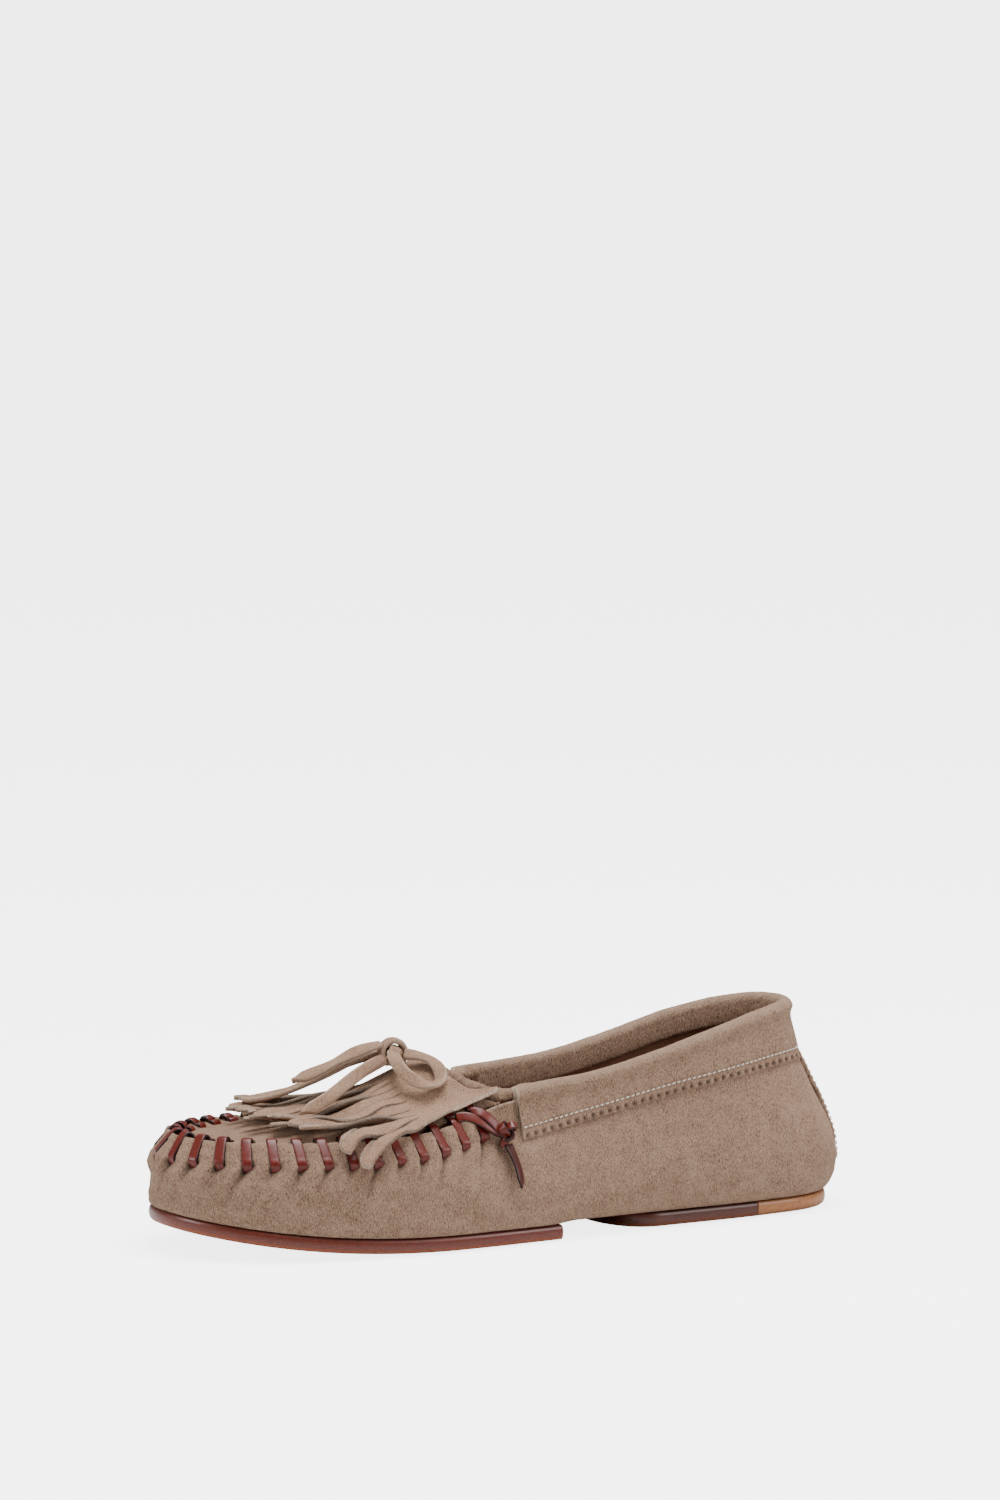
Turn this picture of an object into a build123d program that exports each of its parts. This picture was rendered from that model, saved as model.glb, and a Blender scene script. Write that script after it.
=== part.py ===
from build123d import *
import math
import os

# A left-foot moccasin: a suede wrap that forms the bottom and the walls, a plug laced into its
# gathered edge, a folded collar round the foot opening, a fringed kiltie with a thong bow over
# the instep, and a leather sole in two parts.
# Frame: the toe points to -Y, the heel to +Y, +X is the outer (lateral) side, +Z is up, and the
# origin is on the ground under the middle of the shoe's box. Millimetres.

# ---------------------------------------------------------------- driving dimensions
LENGTH = 255.0            # feather line, toe to heel
BALL_WIDTH = 80.0         # across the feather line where the foot is widest
WAIST_WIDTH = 62.0        # across the feather line under the arch
SEAT_WIDTH = 57.0         # across the feather line under the heel
TOE_RADIUS = 33.0         # plan radius of the feather line at the toe
HEEL_RADIUS = 27.0        # plan radius of the feather line at the heel
TOE_SPRING = 9.0          # how far the toe is lifted off the ground
SPRING_START = 0.36       # share of the length, from the toe, where the lift begins

SOLE = 5.5                # outsole leather
SUEDE = 1.5               # wrap and plug leather
TRIM = 1.4                # collar, kiltie and back stay leather
LINING = 0.8
COUNTER = 0.9             # heel stiffener
BOARD = 1.6               # insole board
FOAM = 4.0                # footbed
SOCK = 1.0                # sock lining
GAP = 0.3                 # clearance between layers that are fixed to each other
LOOSE = 0.5               # clearance between pieces that lie loose on each other
SOLE_GLUE = 0.5           # glue line between the wrap and the sole

# The wall's shape, at shares of the length from the toe: the height of the wrap's top edge,
# and how far that edge stands inside the feather line.
EDGE_AT = (0.0, 0.1, 0.3, 0.38, 0.46, 0.6, 0.7, 0.8, 0.9, 1.0)
EDGE_HEIGHT = (39.5, 39.0, 39.0, 42.0, 47.5, 51.5, 57.0, 63.5, 68.0, 69.0)
EDGE_LEAN = (6.0, 7.0, 9.5, 10.5, 10.0, 7.5, 6.5, 7.0, 11.0, 16.0)
CENTRE_AT = (0.0, 0.33, 0.6, 0.85, 1.0)
CENTRE_SHIFT = (0.0, 4.0, 5.0, 1.5, 0.0)
BULGE = 2.0               # how far the wall stands out past the feather line
BULGE_HEIGHT = 11.0       # above the sole
FEATHER_TUCK = 5.0        # how far the wall's foot rounds in under the bulge

# The collar, from its front ends round the heel.
COLLAR_FRONT = 0.474      # share of the length where it starts
COLLAR_LOW_AT = (0.4, 0.6, 0.74, 0.9, 1.0)
COLLAR_LOW = (33.0, 42.0, 48.5, 53.5, 54.0)
ROLL_RISE = 1.8           # roll centre above the wrap's edge
INNER_LEG = 5.0           # inner leg below the wrap's edge

# The plug and the throat.
CROWN_AT = (-135.0, -115.0, -102.0, -76.5, -51.0, -33.0, -10.0, 10.0)
CROWN_HEIGHT = (37.0, 37.5, 39.0, 43.0, 50.0, 57.5, 62.0, 64.0)
PLUG_DROP = 1.0           # the plug's edge below the wrap's edge
THROAT_FRONT = -32.0      # middle of the foot opening's front
THROAT_SIDE = -7.0        # its sides, where it meets the collar's ends
ROLL_DIAMETER = 5.5

STAY_WIDTH = 12.0         # strip over the back seam

# Whip lace.
LACE_WIDTH = 3.2
LACE_THICKNESS = 0.9
STITCHES = 14             # each side
STITCH_DROP = 8.0         # down the wall from the edge
STITCH_REACH = 5.0        # in over the plug
STITCH_SHORT = 1.5  # the same, for the stitches that the kiltie lies on
KILTIE_COVER = -60.0  # y behind which the kiltie lies on the stitches
STITCH_TILT = 10.0        # degrees
LACE_END = -23.0
KNOT_AT = -14.0
KNOT_RADIUS = 3.4
KNOT_HEIGHT = 37.5
TAIL_LENGTH = 14.0

# Kiltie and bow.
KILTIE_RIDGE_RISE = 3.9  # kiltie's underside over the wrap's edge, clear of the lace
KILTIE_CLEAR = 1.3  # kiltie's underside over the plug
STRIPS = 18
STRIP_GAP = 0.6
BOW_KNOT = (9.0, 8.0, 9.0)
BOW_CENTRE = (1.0, -41.0)
THONG = 3.0               # diameter of a round of the thong's section

# Sole plan.
FORE_MARGIN = 2.3         # forefoot sole past the feather line
HEEL_MARGIN = -1.5        # heel sole past the feather line
FORE_END = 5.0
HEEL_START = 31.0
HEEL_ROUNDING = 11.0      # how far its front edge sweeps back at the sides
HEEL_JOINT = 88.0         # between the brown and the tan leather

THREAD = 0.5
THREAD_PITCH = 2.1
THREAD_LENGTH = 1.4


# ---------------------------------------------------------------- shape functions
def through(stations, values, at):
    """Value at a place on the smooth curve through pairs of station and value."""
    last = len(stations) - 1
    i = max([0] + [k for k in range(last) if stations[k] <= at])

    def slope(k):
        low, high = max(k - 1, 0), min(k + 1, last)
        return (values[high] - values[low]) / (stations[high] - stations[low])

    span = stations[i + 1] - stations[i]
    f = (at - stations[i]) / span
    ends = values[i] * (1 + 2 * f) * (1 - f) ** 2 + values[i + 1] * f * f * (3 - 2 * f)
    return ends + span * f * (1 - f) * (slope(i) * (1 - f) - slope(i + 1) * f)


def ease(low, high, at):
    f = min(max((at - low) / (high - low), 0.0), 1.0)
    return f * f * (3 - 2 * f)


def share(t):
    """Share of the length at a place t round the shoe: 0 at the toe, 1 at the heel."""
    return (1 - math.cos(math.pi * t)) / 2


def turn(u):
    return math.acos(1 - 2 * u) / math.pi


def half_width(u):
    def fullness(width, at):
        return width / 4 / math.sqrt(at * (1 - at))

    tip = math.sqrt(TOE_RADIUS * LENGTH / 2)
    back = math.sqrt(HEEL_RADIUS * LENGTH / 2)
    ball, waist, seat = fullness(BALL_WIDTH, 0.33), fullness(WAIST_WIDTH, 0.62), fullness(SEAT_WIDTH, 0.86)
    g = through((0.0, 0.33, 0.62, 0.86, 1.0), (tip, ball, waist, seat, back), u)
    return 2 * math.sqrt(max(u * (1 - u), 0)) * g


def feather(t, side):
    """Point of the feather line in plan; side is 1 for lateral and -1 for medial."""
    u = share(t)
    centre = through(CENTRE_AT, CENTRE_SHIFT, u) * 2 * math.sqrt(max(u * (1 - u), 0))
    return Vector(centre + side * half_width(u), (u - 0.5) * LENGTH, 0)


def outward(t, side):
    step = 1e-3
    if t < step:
        return Vector(0, -1, 0)
    if t > 1 - step:
        return Vector(0, 1, 0)
    along = feather(t + step, side) - feather(t - step, side)
    return Vector(along.Y, -along.X, 0).normalized() * side


def bottom(y):
    """Height of the wrap's underside: flat, then lifted towards the toe as a parabola."""
    lift = max(0.0, SPRING_START - 0.5 - y / LENGTH) / SPRING_START
    return SOLE + TOE_SPRING * lift ** 2


def edge_height(t):
    return through(EDGE_AT, EDGE_HEIGHT, share(t))


def wall(t, side, f, depth=0.0):
    """Point on the wall, depth inside its outer face. f runs from -1 at the feather line to 0 at
    the bulge, as a quarter of an ellipse, then to 1 at the edge and past it."""
    u = share(t)
    base = feather(t, side)
    floor = bottom(base.Y)
    if f < 0:
        a = math.pi / 2 * (1 + f)
        r = BULGE - FEATHER_TUCK * (1 - math.sin(a))
        z = floor + BULGE_HEIGHT * (1 - math.cos(a))
        normal = (math.sin(a) * BULGE_HEIGHT, -math.cos(a) * FEATHER_TUCK)
    else:
        height = through(EDGE_AT, EDGE_HEIGHT, u) - floor - BULGE_HEIGHT
        upright = ease(0.34, 0.47, u)
        travel = through(EDGE_AT, EDGE_LEAN, u) + BULGE
        g = min(f, 1.0)
        r = BULGE - travel * (g * g + upright * (2 * g * g - 2 * g ** 3))
        slope = travel * (2 * g + upright * (4 * g - 6 * g * g))
        r -= (f - g) * slope
        z = floor + BULGE_HEIGHT + f * height
        normal = (height, slope)
    size = math.hypot(*normal)
    r -= depth * normal[0] / size
    z -= depth * normal[1] / size
    return base + outward(t, side) * r + Vector(0, 0, z)


def share_up(t, side, z):
    """Share f up the wall where its outer face reaches a height."""
    return (z - bottom(feather(t, side).Y) - BULGE_HEIGHT) / (
        edge_height(t) - bottom(feather(t, side).Y) - BULGE_HEIGHT
    )


def edge_place(y, side, depth=0.0):
    """The place t where the wrap's edge passes a plan position y, by halving."""
    low, high = 0.0, 1.0
    for _ in range(30):
        middle = (low + high) / 2
        if wall(middle, side, 1.0, depth).Y < y:
            low = middle
        else:
            high = middle
    return low


def edge_x(y, side, depth=0.0):
    return wall(edge_place(y, side, depth), side, 1.0, depth).X


def crown(x, y):
    """Height of the plug's upper face: from just under the wrap's edge to the crown height."""
    right, left = edge_place(y, 1), edge_place(y, -1)
    a, b = wall(right, 1, 1.0, SUEDE), wall(left, -1, 1.0, SUEDE)
    off_centre = (x - (a.X + b.X) / 2) / ((a.X - b.X) / 2)
    low = (a.Z + b.Z) / 2 - PLUG_DROP
    return low + (through(CROWN_AT, CROWN_HEIGHT, y) - low) * (1 - off_centre ** 2)


# ---------------------------------------------------------------- solids from the shapes
AROUND = 14               # points on each side of a ring
FLOOR_RINGS = 6
BAND_STEPS = 15           # sections on each side of a band round the heel
RISE = [-1.0, -0.8, -0.6, -0.4, -0.2] + [k / 10 for k in range(11)]
TOE_TIP = 0.05            # place where the plug's foremost section stands


def ring(place):
    right = [place(k / AROUND, 1) for k in range(AROUND + 1)]
    left = [place(k / AROUND, -1) for k in range(AROUND - 1, 0, -1)]
    return Wire([Spline(*(right + left), periodic=True).edge()])


def skin_rings(depth):
    """Rings over one face of the wrap, from a slot in its flat bottom to the top edge."""
    def floor(share_out):
        def place(t, side):
            slot = Vector(side * 9 * math.sin(math.pi * t), 30 - 56 * math.cos(math.pi * t), 0)
            p = slot + (wall(t, side, -1.0, depth) - slot) * share_out
            return Vector(p.X, p.Y, bottom(p.Y) + depth)
        return place

    rings = [ring(floor(k / FLOOR_RINGS)) for k in range(FLOOR_RINGS)]
    return rings + [ring(lambda t, side: wall(t, side, f, depth)) for f in RISE]


def across(outline):
    """A side view outline, drawn in the YZ plane, extruded through the whole width."""
    return Pos(-LENGTH / 2, 0, 0) * extrude(Face(outline), LENGTH, dir=(1, 0, 0))


def layer(low, high, front=-LENGTH, back=LENGTH):
    """The space between two heights over the wrap's underside, across the whole shoe."""
    start = (SPRING_START - 0.5) * LENGTH
    edges = []
    corners = []
    for height in (low, high):
        far = Vector(0, -LENGTH, bottom(-LENGTH) + height)
        flat = Vector(0, start, SOLE + height)
        hold = Vector(0, (start - LENGTH) / 2, SOLE + height)
        end = Vector(0, LENGTH, SOLE + height)
        edges += [Bezier(far, hold, flat).edge(), Line(flat, end).edge()]
        corners += [far, end]
    edges += [Line(corners[0], corners[2]).edge(), Line(corners[1], corners[3]).edge()]
    span = Pos(0, (front + back) / 2, 0) * Box(LENGTH, back - front, 3 * LENGTH)
    return across(Wire(edges)) & span


def plan(margin):
    """A tall block with the outline of the feather line, grown by a margin."""
    line = ring(lambda t, side: feather(t, side) + outward(t, side) * margin)
    return Pos(0, 0, -50) * extrude(Face(line), 200, dir=(0, 0, 1))


def band(t, side, outer, inner):
    """A closed section from two lists of points given as distance out and height."""
    base, n = feather(t, side), outward(t, side)
    a = [base + n * r + Vector(0, 0, z) for r, z in outer]
    b = [base + n * r + Vector(0, 0, z) for r, z in inner]
    return Wire([
        Spline(*a).edge(),
        Line(a[-1], b[-1]).edge(),
        Spline(*reversed(b)).edge(),
        Line(b[0], a[0]).edge(),
    ])


def tube(points, radius):
    """A round bar through points, as a loft of circles."""
    wires = []
    for k, p in enumerate(points):
        before, after = points[max(k - 1, 0)], points[min(k + 1, len(points) - 1)]
        wires.append(Wire([Edge.make_circle(radius, Plane(p, z_dir=after - before))]))
    return Solid.make_loft(wires, ruled=True)


def plate(outline, along, width):
    """A closed outline given as points, extruded both ways."""
    face = Face(Wire([Line(a, b).edge() for a, b in zip(outline, outline[1:] + outline[:1])]))
    return extrude(face, width / 2, dir=along, both=True)


def out_and_up(t, side, point):
    d = point - feather(t, side)
    return d.dot(outward(t, side)), point.Z


def beside(y, side):
    """The place t where the feather line passes a plan position y."""
    return turn(y / LENGTH + 0.5)


# ---------------------------------------------------------------- upper
def make_wrap():
    outer, inner = skin_rings(0.0), skin_rings(SUEDE)
    return Solid.make_loft(outer + list(reversed(inner)), ruled=True)


def sheet_across(rows, thickness):
    """A loft of bands, each one a row of points across the shoe and the row below it."""
    wires = []
    for top in rows:
        low = [p - Vector(0, 0, thickness) for p in top]
        wires.append(Wire([
            Spline(*top).edge(),
            Line(top[-1], low[-1]).edge(),
            Spline(*reversed(low)).edge(),
            Line(low[0], top[0]).edge(),
        ]))
    return Solid.make_loft(wires)


def throat():
    """The foot opening's front in plan: a circle's middle and radius, from its depth and width."""
    right, left = edge_x(THROAT_SIDE, 1), edge_x(THROAT_SIDE, -1)
    half, depth = (right - left) / 2, THROAT_SIDE - THROAT_FRONT
    radius = (half * half + depth * depth) / 2 / depth
    return (right + left) / 2, THROAT_FRONT + radius, radius


def make_plug():
    end = edge_place(THROAT_SIDE, 1, SUEDE + GAP)
    rows = []
    for k in range(12):
        y = wall(TOE_TIP + (end - TOE_TIP) * k / 11, 1, 1.0, SUEDE + GAP).Y
        right, left = edge_x(y, 1, SUEDE + GAP), edge_x(y, -1, SUEDE + GAP)
        xs = [left + (right - left) * i / 8 for i in range(9)]
        rows.append([Vector(x, y, crown(x, y)) for x in xs])
    x, y, radius = throat()
    return sheet_across(rows, SUEDE) - Pos(x, y, 0) * Cylinder(radius, 400)


def make_throat_roll():
    x, y, radius = throat()
    inner = radius - ROLL_DIAMETER / 2 - GAP
    end = 0.9 * math.asin(min(1.0, (edge_x(THROAT_SIDE, 1) - x) / radius))
    points = []
    for k in range(9):
        a = end * (k / 4 - 1)
        px, py = x + inner * math.sin(a), y - inner * math.cos(a)
        points.append(Vector(px, py, crown(px, py) - SUEDE / 2))
    return tube(points, ROLL_DIAMETER / 2)


def collar_places():
    """Places and sides from the lateral front end, round the heel, to the medial front end."""
    return places_from(turn(COLLAR_FRONT))


def places_from(start):
    steps = [start + (1 - start) * k / BAND_STEPS for k in range(BAND_STEPS + 1)]
    return [(t, 1) for t in steps] + [(t, -1) for t in reversed(steps[:-1])]


def roll_section(t, side):
    """Roll centre as distance out and height, and the roll's outer radius."""
    r, z = out_and_up(t, side, wall(t, side, 1.0))
    inner = SUEDE + GAP + LINING + LOOSE + TRIM
    outer = LOOSE + TRIM
    return r + (outer - inner) / 2, z + ROLL_RISE, (inner + outer) / 2


def collar_low(t):
    return through(COLLAR_LOW_AT, COLLAR_LOW, share(t))


def make_collar():
    wires = []
    for t, side in collar_places():
        r, z, radius = roll_section(t, side)
        start = share_up(t, side, collar_low(t))
        faces = []
        for leather in (TRIM, 0.0):
            out = -(LOOSE + leather)
            points = [
                out_and_up(t, side, wall(t, side, start + (1 - start) * k / 3, out)) for k in range(4)
            ]
            bend = radius - (TRIM - leather)
            points += [
                (r + bend * math.cos(math.radians(a)), z + bend * math.sin(math.radians(a)))
                for a in (0, 45, 90, 135, 180)
            ]
            points += [(r - bend, z - (ROLL_RISE + INNER_LEG) * k / 3) for k in (1, 2, 3)]
            faces.append(points)
        wires.append(band(t, side, *faces))
    return Solid.make_loft(wires, ruled=True)


def make_collar_padding():
    points = []
    for t, side in collar_places():
        r, z, radius = roll_section(t, side)
        points.append(feather(t, side) + outward(t, side) * r + Vector(0, 0, z))
    return tube(points, radius - TRIM - GAP)


def wall_band(depth, thickness, low, high, start):
    """A layer on the wall, at a depth under the wrap's outer face, that runs round the heel from
    one side to the other. low and high give the shares up the wall at a place and side."""
    wires = []
    for t, side in places_from(start):
        faces = []
        for d in (depth, depth + thickness):
            a, b = low(t, side), high(t, side)
            faces.append([out_and_up(t, side, wall(t, side, a + (b - a) * k / 5, d)) for k in range(6)])
        wires.append(band(t, side, *faces))
    return Solid.make_loft(wires, ruled=True)


def stack_top():
    return SUEDE + BOARD + FOAM + SOCK + 6 * GAP


def above_stack(t, side):
    """Share up the wall, counted from the bulge, of a height just above the sock."""
    return share_up(t, side, bottom(feather(t, side).Y) + BULGE_HEIGHT + 1.0)


def make_quarter_lining():
    start = turn(COLLAR_FRONT + 0.01)
    return wall_band(SUEDE + GAP, LINING, above_stack, lambda t, side: 0.985, start)


def make_heel_counter():
    def high(t, side):
        return share_up(t, side, collar_low(t) - 4.0)

    return wall_band(SUEDE + LINING + 2 * GAP, COUNTER, above_stack, high, turn(0.76))


def make_back_stay():
    low, high = SOLE + 3.0, collar_low(1.0) - 1.0
    start = 1.0
    while wall(start, 1, 0.3).X < STAY_WIDTH / 2:
        start -= 0.0005

    def share_at(z):
        return lambda t, side: max(-0.95, share_up(t, side, z))

    return wall_band(-GAP - TRIM, TRIM, share_at(low), share_at(high), start)


# ---------------------------------------------------------------- bottom
def make_sole(front, back, margin):
    return plan(margin) & layer(-SOLE, -SOLE_GLUE, front, back)


def make_forefoot_outsole():
    return make_sole(-LENGTH, FORE_END, FORE_MARGIN)


def heel_front():
    """Cylinder whose front is the heel sole's rounded front edge."""
    half = SEAT_WIDTH / 2
    radius = (half * half + HEEL_ROUNDING * HEEL_ROUNDING) / 2 / HEEL_ROUNDING
    return Pos(through(CENTRE_AT, CENTRE_SHIFT, 0.62), HEEL_START + radius, 0) * Cylinder(radius, 60)


def make_heel_outsole():
    sole = make_sole(HEEL_START - 1, HEEL_JOINT - GAP / 2, HEEL_MARGIN)
    bridge = Pos(0, HEEL_START + HEEL_ROUNDING + LENGTH / 4, 0) * Box(LENGTH, LENGTH / 2, 60)
    return sole & (heel_front() + bridge)


def make_heel_top_piece():
    return make_sole(HEEL_JOINT + GAP / 2, LENGTH, HEEL_MARGIN)


def make_stack(start, thickness, margin):
    """A layer of the insole stack, inside the wrap's rounded foot."""
    return plan(margin) & layer(start, start + thickness)


# ---------------------------------------------------------------- lace
def stitch_places(side):
    """Places along the edge, evenly spaced by length, from the toe to the collar's end."""
    end = edge_place(LACE_END, side)
    fine = [end * k / 200 for k in range(201)]
    line = [wall(t, side, 1.0) for t in fine]
    run = [0.0]
    for a, b in zip(line, line[1:]):
        run.append(run[-1] + (b - a).length)
    places = []
    for k in range(STITCHES):
        aim = run[-1] * (k + 0.5) / (STITCHES - 0.5)
        places.append(fine[min(range(201), key=lambda i: abs(run[i] - aim))])
    return places


def make_stitch(t, side):
    edge = wall(t, side, 1.0)
    r, z = out_and_up(t, side, edge)
    low = share_up(t, side, z - STITCH_DROP)
    n = outward(t, side)
    x, y, radius = throat()
    reach = STITCH_REACH if edge.Y < KILTIE_COVER else STITCH_SHORT
    while math.hypot(x - edge.X + n.X * (SUEDE + reach), y - edge.Y + n.Y * (SUEDE + reach)) < radius + LACE_WIDTH / 2 + 1:
        reach -= 0.1
    end = edge - n * (SUEDE + reach)
    seat = crown(end.X, max(end.Y, -119.0)) + 0.6
    faces = []
    for lift in (LOOSE, LOOSE + LACE_THICKNESS):
        outer = [out_and_up(t, side, wall(t, side, low + (1 - low) * f, -lift)) for f in (0, 0.4, 0.8)]
        over = [(r - 0.5, z + 0.6 + lift), (r - 2.6, z + 0.6 + lift)]
        inner = [(r - SUEDE - reach, seat + lift)]
        faces.append(outer + over + inner)
    face = Face(band(t, side, *faces))
    along = Vector(-n.Y, n.X, 0)
    strap = extrude(face, LACE_WIDTH / 2, dir=along, both=True)
    return strap.rotate(Axis(edge, n), -side * STITCH_TILT)


def make_whip_lace():
    return Compound([make_stitch(t, side) for side in (1, -1) for t in stitch_places(side)])


def knot_centre(side):
    t = beside(KNOT_AT, side)
    foot = wall(t, side, share_up(t, side, KNOT_HEIGHT), -KNOT_RADIUS - LOOSE)
    return Vector(foot.X, foot.Y, foot.Z)


def make_lace_knot(side):
    return Pos(knot_centre(side)) * Sphere(KNOT_RADIUS)


def tail_top(side):
    """Middle of the tail's upper end, under the knot and clear of the wall."""
    t = beside(KNOT_AT, side)
    z = KNOT_HEIGHT - KNOT_RADIUS - LOOSE
    return wall(t, side, share_up(t, side, z), -LOOSE - 1.4)


def make_lace_tail(side):
    t = beside(KNOT_AT, side)
    top = tail_top(side)
    n = outward(t, side)
    down = (wall(t, side, share_up(t, side, top.Z - TAIL_LENGTH), -LOOSE - 2.4) - top).normalized()
    thick = down.cross(Vector(-n.Y, n.X, 0)).normalized() * (LACE_THICKNESS / 2)
    end = top + down * TAIL_LENGTH
    face = [top - thick, top + thick, end + thick, end - thick]
    strip = plate(face, Vector(-n.Y, n.X, 0), LACE_WIDTH)
    cut = Pos(end) * Rotation(30, 0, 0) * Pos(0, 0, -5) * Box(20, 20, 10)
    return strip - cut


# ---------------------------------------------------------------- kiltie and bow
def kiltie_low(y):
    """Underside of the kiltie across the shoe: over the plug, over the lacing, down the walls."""
    right = wall(edge_place(y, 1), 1, 1.0)
    left = wall(edge_place(y, -1), -1, 1.0)
    rise = KILTIE_RIDGE_RISE
    points = [Vector(left.X - 12, y, left.Z - 8.5), Vector(left.X - 6, y, left.Z)]
    points.append(Vector(left.X - 1, y, left.Z + rise))
    ridge = min(left.Z, right.Z) + rise
    span = right.X - left.X - 14
    for k in range(9):
        x = left.X + 7 + span * k / 8
        points.append(Vector(x, y, max(crown(x, y) + KILTIE_CLEAR, ridge - 0.2)))
    points.append(Vector(right.X + 1, y, right.Z + rise))
    points += [Vector(right.X + 6, y, right.Z), Vector(right.X + 12, y, right.Z - 8.5)]
    return points


def kiltie_outline():
    """The kiltie in plan: a body with a hollow rear edge, and strips fanning to the toe."""
    body = Polyline(
        (30, -14), (14, -28), (1, -33), (-12, -28), (-26, -14), (-28, -30), (-33, -46),
        (37, -46), (32, -30), close=True,
    )
    sheet = make_face(body)
    width = 70.0 / STRIPS
    for k in range(STRIPS):
        x = -33 + width * (k + 0.5)
        across_share = (x - 2) / 35
        fan = 1.0 + 0.28 * (1 - abs(across_share)) ** 0.5
        length = 43 - 24 * across_share ** 2 + (3.0, -2.5, 1.0, -4.0, 2.0)[k % 5]
        half = (width - STRIP_GAP) / 2
        tip = x * fan - 2 * (fan - 1)
        strip = Polyline(
            (x - half, -45), (x + half, -45), (tip + half, -46 - length + 2),
            (tip - half, -46 - length), close=True,
        )
        sheet = sheet + make_face(strip)
    return sheet


def make_kiltie():
    rows = []
    for y in (-10.0, -20.0, -30.0, -40.0, -52.0, -64.0, -76.0, -88.0, -100.0):
        rows.append([p + Vector(0, 0, TRIM) for p in kiltie_low(y)])
    x, y, radius = throat()
    sheet = sheet_across(rows, TRIM) - Pos(x, y, 0) * Cylinder(radius + LOOSE, 400)
    return sheet & extrude(kiltie_outline(), 200, dir=(0, 0, 1))


def bow_base():
    """Height of the kiltie's upper face under the rear of the knot, where it is highest."""
    return crown(BOW_CENTRE[0], BOW_CENTRE[1] + BOW_KNOT[1] / 2) + KILTIE_CLEAR + TRIM


def make_bow_knot():
    block = Pos(*BOW_CENTRE, bow_base() + LOOSE + BOW_KNOT[2] / 2) * Box(*BOW_KNOT)
    return fillet(block.edges(), 2.2)


# Routes of the thong, as points that it turns at.
LOOP_LATERAL = (
    (5.8, -43.0, 63.5), (12.0, -45.5, 62.5), (19.5, -45.0, 58.0), (24.5, -39.5, 54.5),
    (23.0, -32.5, 55.0), (16.5, -30.5, 60.0), (10.5, -34.0, 63.0), (5.8, -38.6, 63.0),
)
LOOP_MEDIAL = (
    (-2.8, -45.6, 61.9), (-4.6, -54.0, 60.0), (-6.0, -66.0, 55.0), (-9.0, -78.0, 50.0),
    (-14.0, -87.0, 47.0), (-20.5, -87.5, 46.5), (-22.0, -80.0, 47.0), (-18.0, -68.0, 50.0),
    (-12.5, -57.0, 56.0), (-10.0, -48.5, 60.5), (-5.4, -42.5, 62.5),
)
TAIL_LONG = ((3.4, -45.7, 61.3), (6.0, -54.0, 59.0), (10.5, -65.0, 54.0), (14.5, -75.0, 49.0), (16.0, -83.0, 47.0))
TAIL_SHORT = ((0.6, -45.6, 66.2), (0.0, -53.0, 65.0), (-1.5, -62.0, 60.5), (-2.0, -71.0, 57.0), (-3.0, -77.5, 55.0))


def make_thong(name, route):
    """A round tube along straight runs joined by arcs as large as the runs allow."""
    points = [Vector(*p) for p in route]
    radii = []
    for a, b, c in zip(points, points[1:], points[2:]):
        half_turn = math.radians((b - a).get_angle(c - b)) / 2
        radii.append(0.45 * min((b - a).length, (c - b).length) / math.tan(half_turn))
    path = FilletPolyline(*points, radius=radii)
    section = Plane(path @ 0, z_dir=path % 0) * Circle(THONG / 2)
    solid = sweep(section, path)
    ideal = path.length * math.pi * THONG ** 2 / 4
    print(name, "length", round(path.length, 1), "volume over section x length",
          round(solid.volume / ideal, 4), "radii", [round(r, 1) for r in radii])
    return solid


# ---------------------------------------------------------------- thread
def make_dash(t, side, z):
    f = share_up(t, side, z)
    out = -LOOSE - TRIM - THREAD / 2 - 0.2
    here = wall(t, side, f, out)
    step = 0.004
    ahead = wall(t + step, side, share_up(t + step, side, z), out)
    along = (ahead - here).normalized()
    n = outward(t, side)
    frame = Plane(here, x_dir=along, z_dir=along.cross(n).cross(along))
    return frame * Box(THREAD_LENGTH, THREAD, THREAD)


def make_collar_stitching():
    dashes = []
    for side in (1, -1):
        t = turn(COLLAR_FRONT) + 0.008
        while t < 1 - 0.012:
            z = collar_low(t) + 2.2
            dashes.append(make_dash(t, side, z))
            step = 0.002
            a, b = wall(t, side, 0.5), wall(t + step, side, 0.5)
            t += step * THREAD_PITCH / (b - a).length
    return Compound(dashes)


def make_back_stay_stitching():
    dashes = []
    for x in (-4.3, 4.3):
        side = 1 if x > 0 else -1
        t = 1.0
        while abs(wall(t, side, 0.3).X) < abs(x):
            t -= 0.0005
        z = SOLE + 8.0
        while z < collar_low(1.0) - 5.0:
            out = -GAP - TRIM - THREAD / 2 - 0.1
            here = wall(t, side, share_up(t, side, z), out)
            above = wall(t, side, share_up(t, side, z + THREAD_PITCH), out)
            frame = Plane(here, x_dir=above - here, z_dir=(1, 0, 0))
            dashes.append(frame * Box(THREAD_LENGTH, THREAD, THREAD))
            z += THREAD_PITCH
    return Compound(dashes)


# ---------------------------------------------------------------- assembly
board_start = SUEDE + 2 * GAP
foam_start = board_start + BOARD + GAP
sock_start = foam_start + FOAM + GAP

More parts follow.
